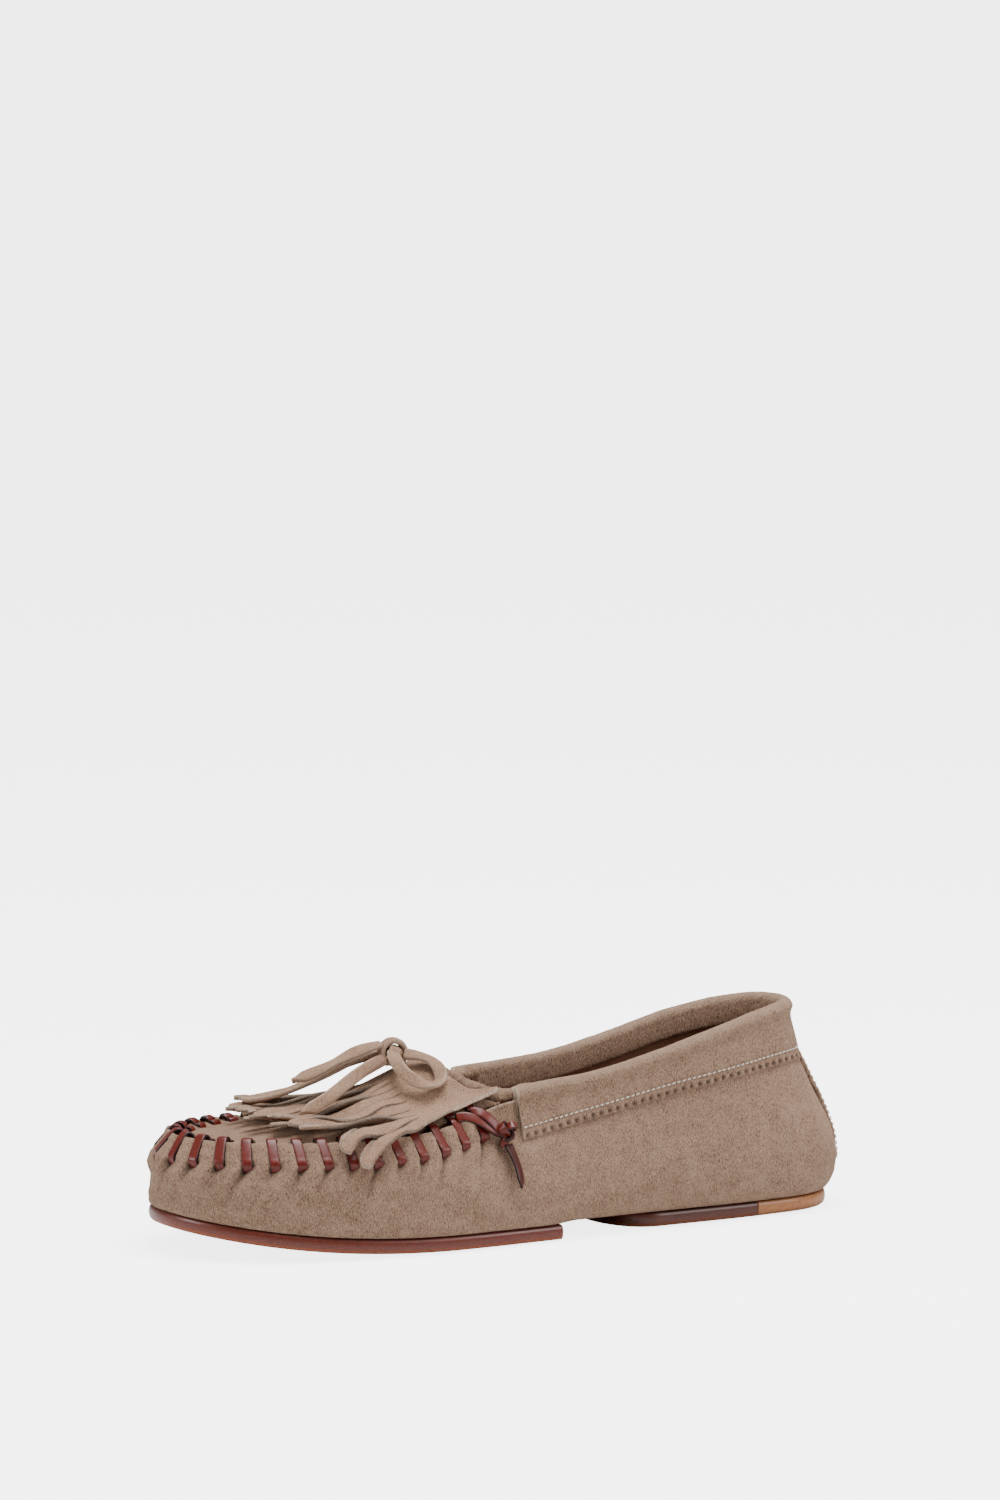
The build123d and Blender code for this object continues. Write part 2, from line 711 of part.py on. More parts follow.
makers = {
    "wrap": make_wrap,
    "plug": make_plug,
    "throat_roll": make_throat_roll,
    "collar": make_collar,
    "collar_padding": make_collar_padding,
    "quarter_lining": make_quarter_lining,
    "heel_counter": make_heel_counter,
    "back_stay": make_back_stay,
    "insole_board": lambda: make_stack(board_start, BOARD, -4.3),
    "footbed_foam": lambda: make_stack(foam_start, FOAM, -2.2),
    "sock_lining": lambda: make_stack(sock_start, SOCK, -0.7),
    "forefoot_outsole": make_forefoot_outsole,
    "heel_outsole": make_heel_outsole,
    "heel_top_piece": make_heel_top_piece,
    "whip_lace": make_whip_lace,
    "lace_knot_lateral": lambda: make_lace_knot(1),
    "lace_knot_medial": lambda: make_lace_knot(-1),
    "lace_tail_lateral": lambda: make_lace_tail(1),
    "lace_tail_medial": lambda: make_lace_tail(-1),
    "kiltie": make_kiltie,
    "bow_knot": make_bow_knot,
    "bow_loop_lateral": lambda: make_thong("bow_loop_lateral", LOOP_LATERAL),
    "bow_loop_medial": lambda: make_thong("bow_loop_medial", LOOP_MEDIAL),
    "bow_tail_long": lambda: make_thong("bow_tail_long", TAIL_LONG),
    "bow_tail_short": lambda: make_thong("bow_tail_short", TAIL_SHORT),
    "collar_stitching": make_collar_stitching,
    "back_stay_stitching": make_back_stay_stitching,
}

os.makedirs("parts", exist_ok=True)
pieces = {name: make() for name, make in makers.items()}
boxes = [piece.bounding_box() for piece in pieces.values()]
low = Vector(min(b.min.X for b in boxes), min(b.min.Y for b in boxes), min(b.min.Z for b in boxes))
high = Vector(max(b.max.X for b in boxes), max(b.max.Y for b in boxes), 0)
ground = Vector((low.X + high.X) / 2, (low.Y + high.Y) / 2, low.Z)
print("moved by", tuple(-ground), "size", high.X - low.X, high.Y - low.Y)
for name, piece in pieces.items():
    export_step(Pos(-ground) * piece, "parts/" + name + ".step")
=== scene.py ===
import math

import bmesh
import bpy
import numpy as np
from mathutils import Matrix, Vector


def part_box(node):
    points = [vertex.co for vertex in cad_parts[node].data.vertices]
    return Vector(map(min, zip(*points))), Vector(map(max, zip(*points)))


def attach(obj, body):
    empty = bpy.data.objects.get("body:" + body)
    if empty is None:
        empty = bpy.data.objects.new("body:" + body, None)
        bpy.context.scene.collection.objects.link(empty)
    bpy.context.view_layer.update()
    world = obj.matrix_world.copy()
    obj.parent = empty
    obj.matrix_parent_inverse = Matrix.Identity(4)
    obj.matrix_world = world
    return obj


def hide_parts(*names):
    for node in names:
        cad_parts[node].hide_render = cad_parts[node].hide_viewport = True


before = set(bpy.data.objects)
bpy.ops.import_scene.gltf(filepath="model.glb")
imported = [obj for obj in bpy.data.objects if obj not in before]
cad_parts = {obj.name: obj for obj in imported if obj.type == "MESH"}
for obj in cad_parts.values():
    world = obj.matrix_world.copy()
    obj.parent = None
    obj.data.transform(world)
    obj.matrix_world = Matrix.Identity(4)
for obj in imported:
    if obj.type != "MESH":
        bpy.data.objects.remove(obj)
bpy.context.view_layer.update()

# ---------------------------------------------------------------- view and light
# A seamless pale table with soft lamps above it, and a long lens a little above shoe height. The
# shoe's sizes are millimetres in its maker's frame: y from the outline's middle, toe at -y.
LENGTH, BULGE = 255.0, 2.0
wrap_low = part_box("wrap")[0]
stay_low, stay_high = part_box("back_stay")
MOVE = np.array([
    (stay_low[0] + stay_high[0]) / 2, wrap_low[1] + (LENGTH / 2 + BULGE) / 1000, 0.0,
])


def metres(points):
    """From the maker's millimetres to the frame's metres: a thousandth, moved by MOVE."""
    return np.asarray(points, float) / 1000 + MOVE


TABLE_SPOKES, TABLE_DROP = 64, 0.0005
table_r = np.array([0.0, 1.0, 2.0, 3.2, 4.0, 4.6, 4.9, 5.0, 5.0])
table_z = np.array([0.0, 0.0, 0.0, 0.0, 0.08, 0.3, 0.8, 1.6, 4.0]) - TABLE_DROP
around = np.linspace(0, 2 * np.pi, TABLE_SPOKES + 1)[:-1]
table_points = np.stack([
    np.outer(table_r, np.cos(around)), np.outer(table_r, np.sin(around)),
    np.outer(table_z, np.ones(TABLE_SPOKES)),
], -1)
ring, spoke = np.meshgrid(np.arange(len(table_r) - 1), np.arange(TABLE_SPOKES), indexing="ij")
corner, beside_it = ring * TABLE_SPOKES + spoke, ring * TABLE_SPOKES + (spoke + 1) % TABLE_SPOKES
table_quads = np.stack([corner, beside_it, beside_it + TABLE_SPOKES, corner + TABLE_SPOKES], -1)
table_mesh = bpy.data.meshes.new("table")
table_points, table_quads = table_points.reshape(-1, 3), table_quads.reshape(-1, 4)
table_mesh.from_pydata(table_points.tolist(), [], table_quads.tolist())
table_mesh.polygons.foreach_set("use_smooth", np.ones(len(table_mesh.polygons), bool))
table_mesh.update()
table = bpy.data.objects.new("table", table_mesh)
bpy.context.collection.objects.link(table)

TABLE_WHITE, TABLE_ROUGH, TABLE_GLOW = 0.80, 0.7, 4.0
pale = bpy.data.materials.new("pale_table")
pale.use_nodes = True
pale_nodes, pale_link = pale.node_tree.nodes, pale.node_tree.links.new
pale_shader = pale_nodes["Principled BSDF"]
pale_shader.inputs["Base Color"].default_value = (TABLE_WHITE, TABLE_WHITE, TABLE_WHITE, 1)
pale_shader.inputs["Roughness"].default_value = TABLE_ROUGH
seen = pale_nodes.new("ShaderNodeLightPath")
glow = pale_nodes.new("ShaderNodeMath")
glow.operation = "MULTIPLY"
glow.inputs[1].default_value = TABLE_GLOW
pale_link(seen.outputs["Is Camera Ray"], glow.inputs[0])
pale_shader.inputs["Emission Color"].default_value = (1, 1, 1, 1)
pale_link(glow.outputs[0], pale_shader.inputs["Emission Strength"])
table.data.materials.append(pale)

AZIMUTH, ELEVATION, DISTANCE = math.radians(64.6), math.radians(9.28), 3.0
AIM, LENS, SHIFT, NEAR = (0.0, -21.3, 40.5), 206.95, (0.0381, 0.2417), 0.05
back = Vector((
    math.sin(AZIMUTH) * math.cos(ELEVATION), -math.cos(AZIMUTH) * math.cos(ELEVATION),
    math.sin(ELEVATION),
))
lens = bpy.data.cameras.new("view")
lens.lens, lens.clip_start = LENS, NEAR
lens.shift_x, lens.shift_y = SHIFT
camera = bpy.data.objects.new("view", lens)
camera.location = Vector(metres(AIM)) + back * DISTANCE
camera.rotation_euler = (-back).to_track_quat("-Z", "Y").to_euler()
bpy.context.collection.objects.link(camera)
bpy.context.scene.camera = camera

ROOM_LIGHT, LAMP_AIM = 0.47, Vector((0, 0, 0.03))
world = bpy.data.worlds.new("room")
world.use_nodes = True
world.node_tree.nodes["Background"].inputs["Color"].default_value = (1.0, 1.0, 1.0, 1)
world.node_tree.nodes["Background"].inputs["Strength"].default_value = ROOM_LIGHT
bpy.context.scene.world = world
for name, spot, width, power in (
    ("top_lamp", (0.1, 0.1, 1.5), 1.0, 36),
    ("heel_lamp", (0.9, 1.1, 0.8), 0.8, 13),
    ("toe_lamp", (-0.2, -1.3, 0.6), 0.6, 9),
):
    lamp = bpy.data.lights.new(name, "AREA")
    lamp.shape, lamp.size, lamp.energy = "DISK", width, power
    holder = bpy.data.objects.new(name, lamp)
    holder.location = spot
    holder.rotation_euler = (LAMP_AIM - Vector(spot)).to_track_quat("-Z", "Y").to_euler()
    bpy.context.collection.objects.link(holder)


# ---------------------------------------------------------------- bow thongs
# A flat suede thong tied in a bow that lies on the kiltie: two loops, and two tails cut to a
# point. Its nap is brushed and its cut sides are paler than its face.
# The crease value darkens the dark colour into the painted shade of creases, holes and dimples.
WELD, CREASE_SHADE, MOTTLING, TONE_RANGE = 2e-6, 0.16, 0.16, (0.38, 0.62)
NAP_LEAN, NAP_DRAWN_OUT = (0.5, 0.25, 0.0), (1.0, 1.0, 0.38)


def surface(name, grids, material, body="shoe", wear_and_shade=None, hidden=()):
    """One closed mesh from grids of points in the maker's millimetres. Each grid is (points, close
    rows, close columns). Points that meet are welded, and the faces turned to look outward."""
    points, quads, shades, start = [], [], [], 0
    for k, (p, close_rows, close_columns) in enumerate(grids):
        rows, columns = p.shape[:2]
        i, j = np.meshgrid(np.arange(rows if close_rows else rows - 1),
                           np.arange(columns if close_columns else columns - 1), indexing="ij")
        i2, j2 = (i + 1) % rows, (j + 1) % columns
        q = np.stack([i * columns + j, i * columns + j2, i2 * columns + j2, i2 * columns + j], -1)
        points.append(metres(p.reshape(-1, 3)))
        quads.append(q.reshape(-1, 4) + start)
        shade = 0.0 if wear_and_shade is None else wear_and_shade[k]
        shades.append(np.broadcast_to(shade, (rows, columns)).reshape(-1))
        start += rows * columns
    points, quads = np.concatenate(points), np.concatenate(quads)
    mesh = bpy.data.meshes.new(name)
    mesh.vertices.add(len(points))
    mesh.vertices.foreach_set("co", points.ravel())
    mesh.loops.add(quads.size)
    mesh.loops.foreach_set("vertex_index", quads.ravel())
    mesh.polygons.add(len(quads))
    mesh.polygons.foreach_set("loop_start", np.arange(len(quads)) * 4)
    mesh.update(calc_edges=True)
    # Each point's value: below zero painted shade, above zero the share of the edge colour.
    layer = mesh.attributes.new("wear_and_shade", "FLOAT", "POINT")
    layer.data.foreach_set("value", np.concatenate(shades))
    build = bmesh.new()
    build.from_mesh(mesh)
    bmesh.ops.remove_doubles(build, verts=build.verts, dist=WELD)
    bmesh.ops.recalc_face_normals(build, faces=build.faces)
    build.to_mesh(mesh)
    build.free()
    mesh.polygons.foreach_set("use_smooth", np.ones(len(mesh.polygons), bool))
    mesh.materials.append(material)
    piece = bpy.data.objects.new(name, mesh)
    bpy.context.collection.objects.link(piece)
    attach(piece, body)
    if hidden:
        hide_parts(*hidden)
    return piece


def nap_group():
    """Nap of brushed leather: short slanted streaks, grains and broad mottling."""
    group = bpy.data.node_groups.new("nap", "ShaderNodeTree")
    group.interface.new_socket("Vector", in_out="INPUT", socket_type="NodeSocketVector")
    group.interface.new_socket("Tone", in_out="OUTPUT", socket_type="NodeSocketFloat")
    group.interface.new_socket("Height", in_out="OUTPUT", socket_type="NodeSocketFloat")
    nodes, link = group.nodes, group.links.new
    start, end = nodes.new("NodeGroupInput"), nodes.new("NodeGroupOutput")
    stretch = nodes.new("ShaderNodeMapping")
    stretch.inputs["Rotation"].default_value = NAP_LEAN
    stretch.inputs["Scale"].default_value = NAP_DRAWN_OUT
    link(start.outputs["Vector"], stretch.inputs["Vector"])
    parts = {}
    for key, source, scale, detail in (
        ("streak", stretch.outputs["Vector"], 3000, 2), ("grain", start.outputs["Vector"], 4300, 2),
        ("patch", start.outputs["Vector"], 75, 4), ("cloud", start.outputs["Vector"], 260, 3),
    ):
        noise = nodes.new("ShaderNodeTexNoise")
        noise.inputs["Scale"].default_value = scale
        noise.inputs["Detail"].default_value = detail
        link(source, noise.inputs["Vector"])
        parts[key] = noise.outputs["Fac"]

    def blend(a, b, share_b):
        """Weighted mean of two values: share_b of b and the rest of a."""
        node = nodes.new("ShaderNodeMix")
        node.data_type = "FLOAT"
        node.inputs["Factor"].default_value = share_b
        link(a, node.inputs["A"])
        link(b, node.inputs["B"])
        return node.outputs["Result"]

    fibres = blend(parts["streak"], parts["grain"], 0.3)
    tone = blend(fibres, blend(parts["patch"], parts["cloud"], 0.7), MOTTLING)
    spread = nodes.new("ShaderNodeMapRange")
    spread.inputs["From Min"].default_value, spread.inputs["From Max"].default_value = TONE_RANGE
    link(tone, spread.inputs["Value"])
    link(spread.outputs["Result"], end.inputs["Tone"])
    link(blend(parts["streak"], parts["grain"], 0.5), end.inputs["Height"])
    return group


nap = nap_group()


def leather(name, dark, light, edge, rough=0.9, sheen=0.35, bump=0.55, relief=0.0004, coat=0.0,
            spec=0.3):
    """Leather finish: nap tone between dark and light. Where the piece's own wear-and-shade value
    is negative it is darkened with painted shade, in creases, holes, dimples and between parts;
    where positive it takes the edge colour on cut or rubbed places, and on the collar roll's top
    that is a painted highlight."""
    material = bpy.data.materials.new(name)
    material.use_nodes = True
    nodes, link = material.node_tree.nodes, material.node_tree.links.new
    shader = nodes["Principled BSDF"]
    where = nodes.new("ShaderNodeTexCoord")
    fur = nodes.new("ShaderNodeGroup")
    fur.node_tree = nap
    link(where.outputs["Object"], fur.inputs["Vector"])
    base = nodes.new("ShaderNodeMix")
    base.data_type = "RGBA"
    base.inputs["A"].default_value, base.inputs["B"].default_value = (*dark, 1), (*light, 1)
    link(fur.outputs["Tone"], base.inputs["Factor"])
    wear_and_shade = nodes.new("ShaderNodeAttribute")
    wear_and_shade.attribute_name = "wear_and_shade"

    def signed_share(sign):
        """Wear-and-shade value of one sign alone, held between 0 and 1."""
        node = nodes.new("ShaderNodeMath")
        node.operation, node.use_clamp = "MULTIPLY", True
        node.inputs[1].default_value = sign
        link(wear_and_shade.outputs["Fac"], node.inputs[0])
        return node.outputs[0]

    def tint(under, over, amount):
        """The colour under, mixed towards the fixed colour over by a share that varies."""
        node = nodes.new("ShaderNodeMix")
        node.data_type = "RGBA"
        node.inputs["B"].default_value = (*over, 1)
        link(under, node.inputs["A"])
        link(amount, node.inputs["Factor"])
        return node.outputs["Result"]

    # Painted shade: negative values darken creases, holes, dimples and gaps between parts towards a
    # near-black copy of the dark colour.
    crease_shaded = tint(base.outputs["Result"], [CREASE_SHADE * v for v in dark], signed_share(-1.0))
    # Positive values give cut and rubbed edges their edge colour, and the collar roll's top a
    # painted highlight.
    edge_and_highlight = tint(crease_shaded, edge, signed_share(1.0))
    link(edge_and_highlight, shader.inputs["Base Color"])
    relief_node = nodes.new("ShaderNodeBump")
    relief_node.inputs["Strength"].default_value = bump
    relief_node.inputs["Distance"].default_value = relief
    link(fur.outputs["Height"], relief_node.inputs["Height"])
    link(relief_node.outputs["Normal"], shader.inputs["Normal"])
    shader.inputs["Roughness"].default_value = rough
    shader.inputs["Specular IOR Level"].default_value = spec
    shader.inputs["Sheen Weight"].default_value = sheen
    shader.inputs["Sheen Roughness"].default_value = 0.45
    shader.inputs["Sheen Tint"].default_value = (*light, 1)
    shader.inputs["Coat Weight"].default_value = coat
    shader.inputs["Coat Roughness"].default_value = 0.18
    return material


def colour(r, g, b):
    """Linear colour of an sRGB triple out of 255."""
    return tuple(float(v) for v in (np.array([r, g, b]) / 255) ** 2.2)


thong_suede = leather("thong_suede", colour(112, 84, 67), colour(172, 141, 118),
                      colour(190, 168, 148), bump=0.8, relief=0.0005, sheen=0.25)


def path_through(points, count=160):
    """Points along a smooth clamped curve of degree two whose control points are given."""
    line = bpy.data.curves.new("route", "CURVE")
    line.dimensions = "3D"
    spline = line.splines.new("NURBS")
    spline.points.add(len(points) - 1)
    spline.points.foreach_set("co", np.c_[points, np.ones(len(points))].ravel())
    spline.order_u, spline.use_endpoint_u, spline.resolution_u = 3, True, 24
    holder = bpy.data.objects.new("route", line)
    bpy.context.collection.objects.link(holder)
    evaluated = holder.evaluated_get(bpy.context.evaluated_depsgraph_get())
    mesh = bpy.data.meshes.new_from_object(evaluated)
    found = np.array([v.co[:] for v in mesh.vertices])
    bpy.data.objects.remove(holder)
    bpy.data.meshes.remove(mesh)
    run = np.r_[0, np.cumsum(np.linalg.norm(np.diff(found, axis=0), axis=1))]
    at = np.linspace(0, run[-1], count)
    return np.stack([np.interp(at, run, found[:, k]) for k in range(3)], -1), run[-1]


def unit(v):
    """Each vector over its own length, and a zero vector left at zero."""
    return v / np.maximum(np.linalg.norm(v, axis=-1, keepdims=True), 1e-12)


def ease(low, high, at):
    """Smooth step from 0 at low to 1 at high: the cubic 3f^2 - 2f^3 of the share f between them."""
    f = np.clip((np.asarray(at, float) - low) / (high - low), 0, 1)
    return f * f * (3 - 2 * f)


def strap(path, width, thick, face, power=5.0, steps=24, twist=None, width_at=None):
    """Grid of a flat strap along a path: a superellipse section, wide across the face direction.
    face is a direction, or one for each point, that the strap's broad side looks towards."""
    tangent = unit(np.gradient(path, axis=0))
    face = np.broadcast_to(np.asarray(face, float), path.shape)
    side = unit(np.cross(tangent, face))
    up = unit(np.cross(side, tangent))
    if twist is not None:
        c, s = np.cos(twist)[:, None], np.sin(twist)[:, None]
        side, up = side * c + up * s, up * c - side * s
    a = np.linspace(0, 2 * np.pi, steps + 1)[:-1]
    wide = np.sign(np.cos(a)) * np.abs(np.cos(a)) ** (2 / power) * width / 2
    high = np.sign(np.sin(a)) * np.abs(np.sin(a)) ** (2 / power) * thick / 2
    scale = np.ones(len(path)) if width_at is None else width_at
    grid = (path[:, None] + side[:, None] * (wide[None, :] * scale[:, None])[..., None]
            + up[:, None] * high[None, :, None])
    first, last = np.repeat(path[:1, None], steps, 1), np.repeat(path[-1:, None], steps, 1)
    closed = np.concatenate([first, grid, last])
    rim = np.abs(np.cos(a)) ** (2 / power) > 0.9
    return closed, np.broadcast_to(rim.astype(float), (len(closed), steps))


LOOP_LATERAL = (
    (5.8, -43.0, 63.5), (12.0, -45.5, 62.5), (19.5, -45.0, 58.0), (24.5, -39.5, 54.5),
    (23.0, -32.5, 55.0), (16.5, -30.5, 60.0), (10.5, -34.0, 63.0), (5.8, -38.6, 63.0),
)
LOOP_MEDIAL = (
    (-2.8, -45.6, 61.9), (-4.6, -54.0, 60.0), (-6.0, -66.0, 55.0), (-9.0, -78.0, 50.0),
    (-14.0, -87.0, 47.0), (-20.5, -87.5, 46.5), (-22.0, -80.0, 47.0), (-18.0, -68.0, 50.0),
    (-12.5, -57.0, 56.0), (-10.0, -48.5, 60.5), (-5.4, -42.5, 62.5),
)
TAIL_LONG = (
    (3.4, -45.7, 61.3), (6.0, -54.0, 59.0), (10.5, -65.0, 54.0), (14.5, -75.0, 49.0),
    (16.0, -83.0, 47.0),
)
TAIL_SHORT = (
    (0.6, -45.6, 66.2), (0.0, -53.0, 65.0), (-1.5, -62.0, 60.5), (-2.0, -71.0, 57.0),
    (-3.0, -77.5, 55.0),
)
THONG_WIDE, THONG_THICK, TAIL_NARROWED = 4.6, 2.1, 0.75
for name, route, face, ends, lean, pointed in (
    ("bow_loop_lateral", LOOP_LATERAL, (0.5, -0.35, 0.8), "object", 0.5, False),
    ("bow_loop_medial", LOOP_MEDIAL, (-0.15, 0.1, 1.0), "object", 0.25, False),
    ("bow_tail_long", TAIL_LONG, (0.75, 0.1, 0.6), "bare", 0.3, True),
    ("bow_tail_short", TAIL_SHORT, (0.35, 0.0, 0.9), "bare", 0.25, True),
):
    line, length = path_through(np.array(route))
    along = np.linspace(0, 1, len(line))
    roll = lean * np.sin(along * 2 * np.pi * (1 + 0.4 * (len(route) % 3)) + len(route))
    narrow = 1 - (TAIL_NARROWED if pointed else 0.0) * ease(0.86, 1.0, along)
    grid, rim = strap(line, THONG_WIDE, THONG_THICK, face, power=3.2, twist=roll, width_at=narrow)
    cord = surface(name + "_thong", [(grid, False, True)], thong_suede, "kiltie_and_bow",
                   [rim * 0.45], (name,))


# ---------------------------------------------------------------- wrap
# One piece of suede, pulled over the last, goes under the foot and up the sides. The whip lace
# gathers its top edge: it puffs out between the stitches, and each hole pulls a crease down.
SOLE, TOE_SPRING, SPRING_START = 5.5, 9.0, 0.36
BULGE_HEIGHT, FEATHER_TUCK = 11.0, 5.0
SUEDE, GAP = 1.5, 0.3
EDGE_AT = (0.0, 0.1, 0.3, 0.38, 0.46, 0.6, 0.7, 0.8, 0.9, 1.0)
EDGE_HEIGHT = (39.5, 39.0, 39.0, 42.0, 47.5, 51.5, 57.0, 63.5, 68.0, 69.0)
EDGE_LEAN = (6.0, 7.0, 9.5, 10.5, 10.0, 7.5, 6.5, 7.0, 11.0, 16.0)
WIDTHS = ((80, 0.33), (62, 0.62), (57, 0.86))
TOE_RADIUS, HEEL_RADIUS = 33, 27
STITCHES, LACE_END, STITCH_TILT, STITCH_DROP = 14, -23.0, math.radians(12), 6.8
PUFF, PINCH, CREASE, FOLD, HOLE = 2.5, 0.5, 1.2, 1.1, 0.9
OVER_SOLE = 3.9
suede = leather("suede", colour(96, 72, 57), colour(168, 138, 116), colour(200, 178, 158),
                bump=1.0, relief=0.0007, sheen=0.25)


def through(stations, values, at):
    """Smooth curve through pairs of station and value: cubic spans with averaged slopes."""
    xs, ys, at = np.array(stations, float), np.array(values, float), np.asarray(at, float)
    i = np.clip(np.searchsorted(xs, at, side="right") - 1, 0, len(xs) - 2)
    step = np.arange(len(xs))
    low, high = np.maximum(step - 1, 0), np.minimum(step + 1, len(xs) - 1)
    slope = (ys[high] - ys[low]) / (xs[high] - xs[low])
    span = xs[i + 1] - xs[i]
    f = (at - xs[i]) / span
    ends = ys[i] * (1 + 2 * f) * (1 - f) ** 2 + ys[i + 1] * f * f * (3 - 2 * f)
    return ends + span * f * (1 - f) * (slope[i] * (1 - f) - slope[i + 1] * f)


def share(t):
    """Share of the length at place t: half of one minus the cosine, so ends are closely spaced."""
    return (1 - np.cos(np.pi * np.asarray(t, float))) / 2


def place_of(u):
    """Place t at a share u of the length, which undoes share."""
    return np.arccos(1 - 2 * np.asarray(u, float)) / np.pi


def oval(u):
    """Half-ellipse along the length: 0 at both ends and 1 in the middle."""
    return 2 * np.sqrt(np.maximum(u * (1 - u), 0))


def half_width(u):
    """Half the outline's width: an ellipse times a fullness set at toe, ball, waist, seat, heel."""
    full = [w / 4 / math.sqrt(a * (1 - a)) for w, a in WIDTHS]
    tip, back = math.sqrt(TOE_RADIUS * LENGTH / 2), math.sqrt(HEEL_RADIUS * LENGTH / 2)
    g = through((0, 0.33, 0.62, 0.86, 1), (tip, *full, back), u)
    return oval(u) * g


def middle_line(u):
    """Sideways swing of the outline's middle: a smooth curve of offsets times the oval."""
    return through((0, 0.33, 0.6, 0.85, 1), (0, 4, 5, 1.5, 0), u) * oval(u)


def outline(t, side):
    """Plan point of the outline at place t, 0 at the toe and 1 at the heel, on one side."""
    u = share(t)
    return middle_line(u) + side * half_width(u), (u - 0.5) * LENGTH


def outward(t, side):
    """Unit normal of the outline in plan, from the difference of two near points."""
    t, side = np.broadcast_arrays(np.asarray(t, float), np.asarray(side, float))
    xa, ya = outline(np.clip(t - 1e-3, 0, 1), side)
    xb, yb = outline(np.clip(t + 1e-3, 0, 1), side)
    nx, ny = (yb - ya) * side, -(xb - xa) * side
    tip, back = t < 1e-3, t > 1 - 1e-3
    nx, ny = np.where(tip | back, 0, nx), np.where(tip, -1, np.where(back, 1, ny))
    size = np.hypot(nx, ny)
    return nx / size, ny / size


def bottom(y):
    """Height of the underside: the sole's thickness, plus a parabola of toe spring."""
    lift = np.maximum(0, SPRING_START - 0.5 - np.asarray(y) / LENGTH) / SPRING_START
    return SOLE + TOE_SPRING * lift ** 2


def wall(t, side, f, depth=0.0):
    """Point on the wall, depth inside its face. f goes from -1 at the feather line to 0 at the
    bulge, as a quarter ellipse, and to 1 at the top edge, leaning in as a polynomial of f."""
    t, side, f, depth = np.broadcast_arrays(*(np.asarray(v, float) for v in (t, side, f, depth)))
    u = share(t)
    x, y = outline(t, side)
    floor = bottom(y)
    a = np.pi / 2 * (1 + np.minimum(f, 0))
    height = through(EDGE_AT, EDGE_HEIGHT, u) - floor - BULGE_HEIGHT
    travel = through(EDGE_AT, EDGE_LEAN, u) + BULGE
    upright, g = ease(0.34, 0.47, u), np.clip(f, 0, 1)
    slope = travel * (2 * g + upright * (4 * g - 6 * g * g))
    r_low = BULGE - FEATHER_TUCK * (1 - np.sin(a))
    r_high = BULGE - travel * (g * g + upright * (2 * g * g - 2 * g ** 3))
    r_high = r_high - np.maximum(f - 1, 0) * slope
    r = np.where(f < 0, r_low, r_high)
    z = floor + np.where(f < 0, BULGE_HEIGHT * (1 - np.cos(a)), BULGE_HEIGHT + f * height)
    nr = np.where(f < 0, np.sin(a) * BULGE_HEIGHT, height)
    nz = np.where(f < 0, -np.cos(a) * FEATHER_TUCK, slope)
    size = np.hypot(nr, nz)
    r, z = r - depth * nr / size, z - depth * nz / size
    ox, oy = outward(t, side)
    return np.stack([x + ox * r, y + oy * r, z], axis=-1)


def share_up(t, side, z):
    """Share f up the wall, counted from the bulge, of a height z."""
    low = bottom(outline(t, side)[1]) + BULGE_HEIGHT
    return (z - low) / (through(EDGE_AT, EDGE_HEIGHT, share(t)) - low)


def beside(y):
    """Place t of the outline beside a plan position y."""
    return place_of(np.asarray(y) / LENGTH + 0.5)


fine = np.linspace(0, 1, 2001)
edge = {side: wall(fine, side, 1.0) for side in (1, -1)}


def edge_at(y, side, axis):
    """Coordinate of the wrap's top edge where it passes a plan position y."""
    return np.interp(y, edge[side][:, 1], edge[side][:, axis])


def ripple(a, b, seed, size, count=14):
    """Smooth uneven field of two coordinates: a sum of sine waves in seeded directions."""
    rng = np.random.default_rng(seed)
    angle, phase = rng.uniform(0, 2 * np.pi, count), rng.uniform(0, 2 * np.pi, count)
    pitch = size * rng.uniform(0.6, 1.7, count)
    total = 0
    for w, p, q in zip(angle, phase, pitch):
        total = total + np.sin(2 * np.pi * (a * math.cos(w) + b * math.sin(w)) / q + p)
    return total / math.sqrt(count)


def run_along(side):
    """Length along the top edge from the toe, at the places of the fine list."""
    return np.r_[0, np.cumsum(np.linalg.norm(np.diff(edge[side], axis=0), axis=1))]


run = {side: run_along(side) for side in (1, -1)}
run_end = {side: np.interp(beside(LACE_END), fine, run[side]) for side in (1, -1)}


def stitch_phase(t, side):
    """Count of stitches along the edge at place t: a whole number at a stitch, -0.5 at the toe."""
    return np.where(side > 0, np.interp(t, fine, run[1]) / run_end[1],
                    np.interp(t, fine, run[-1]) / run_end[-1]) * (STITCHES - 0.5) - 0.5


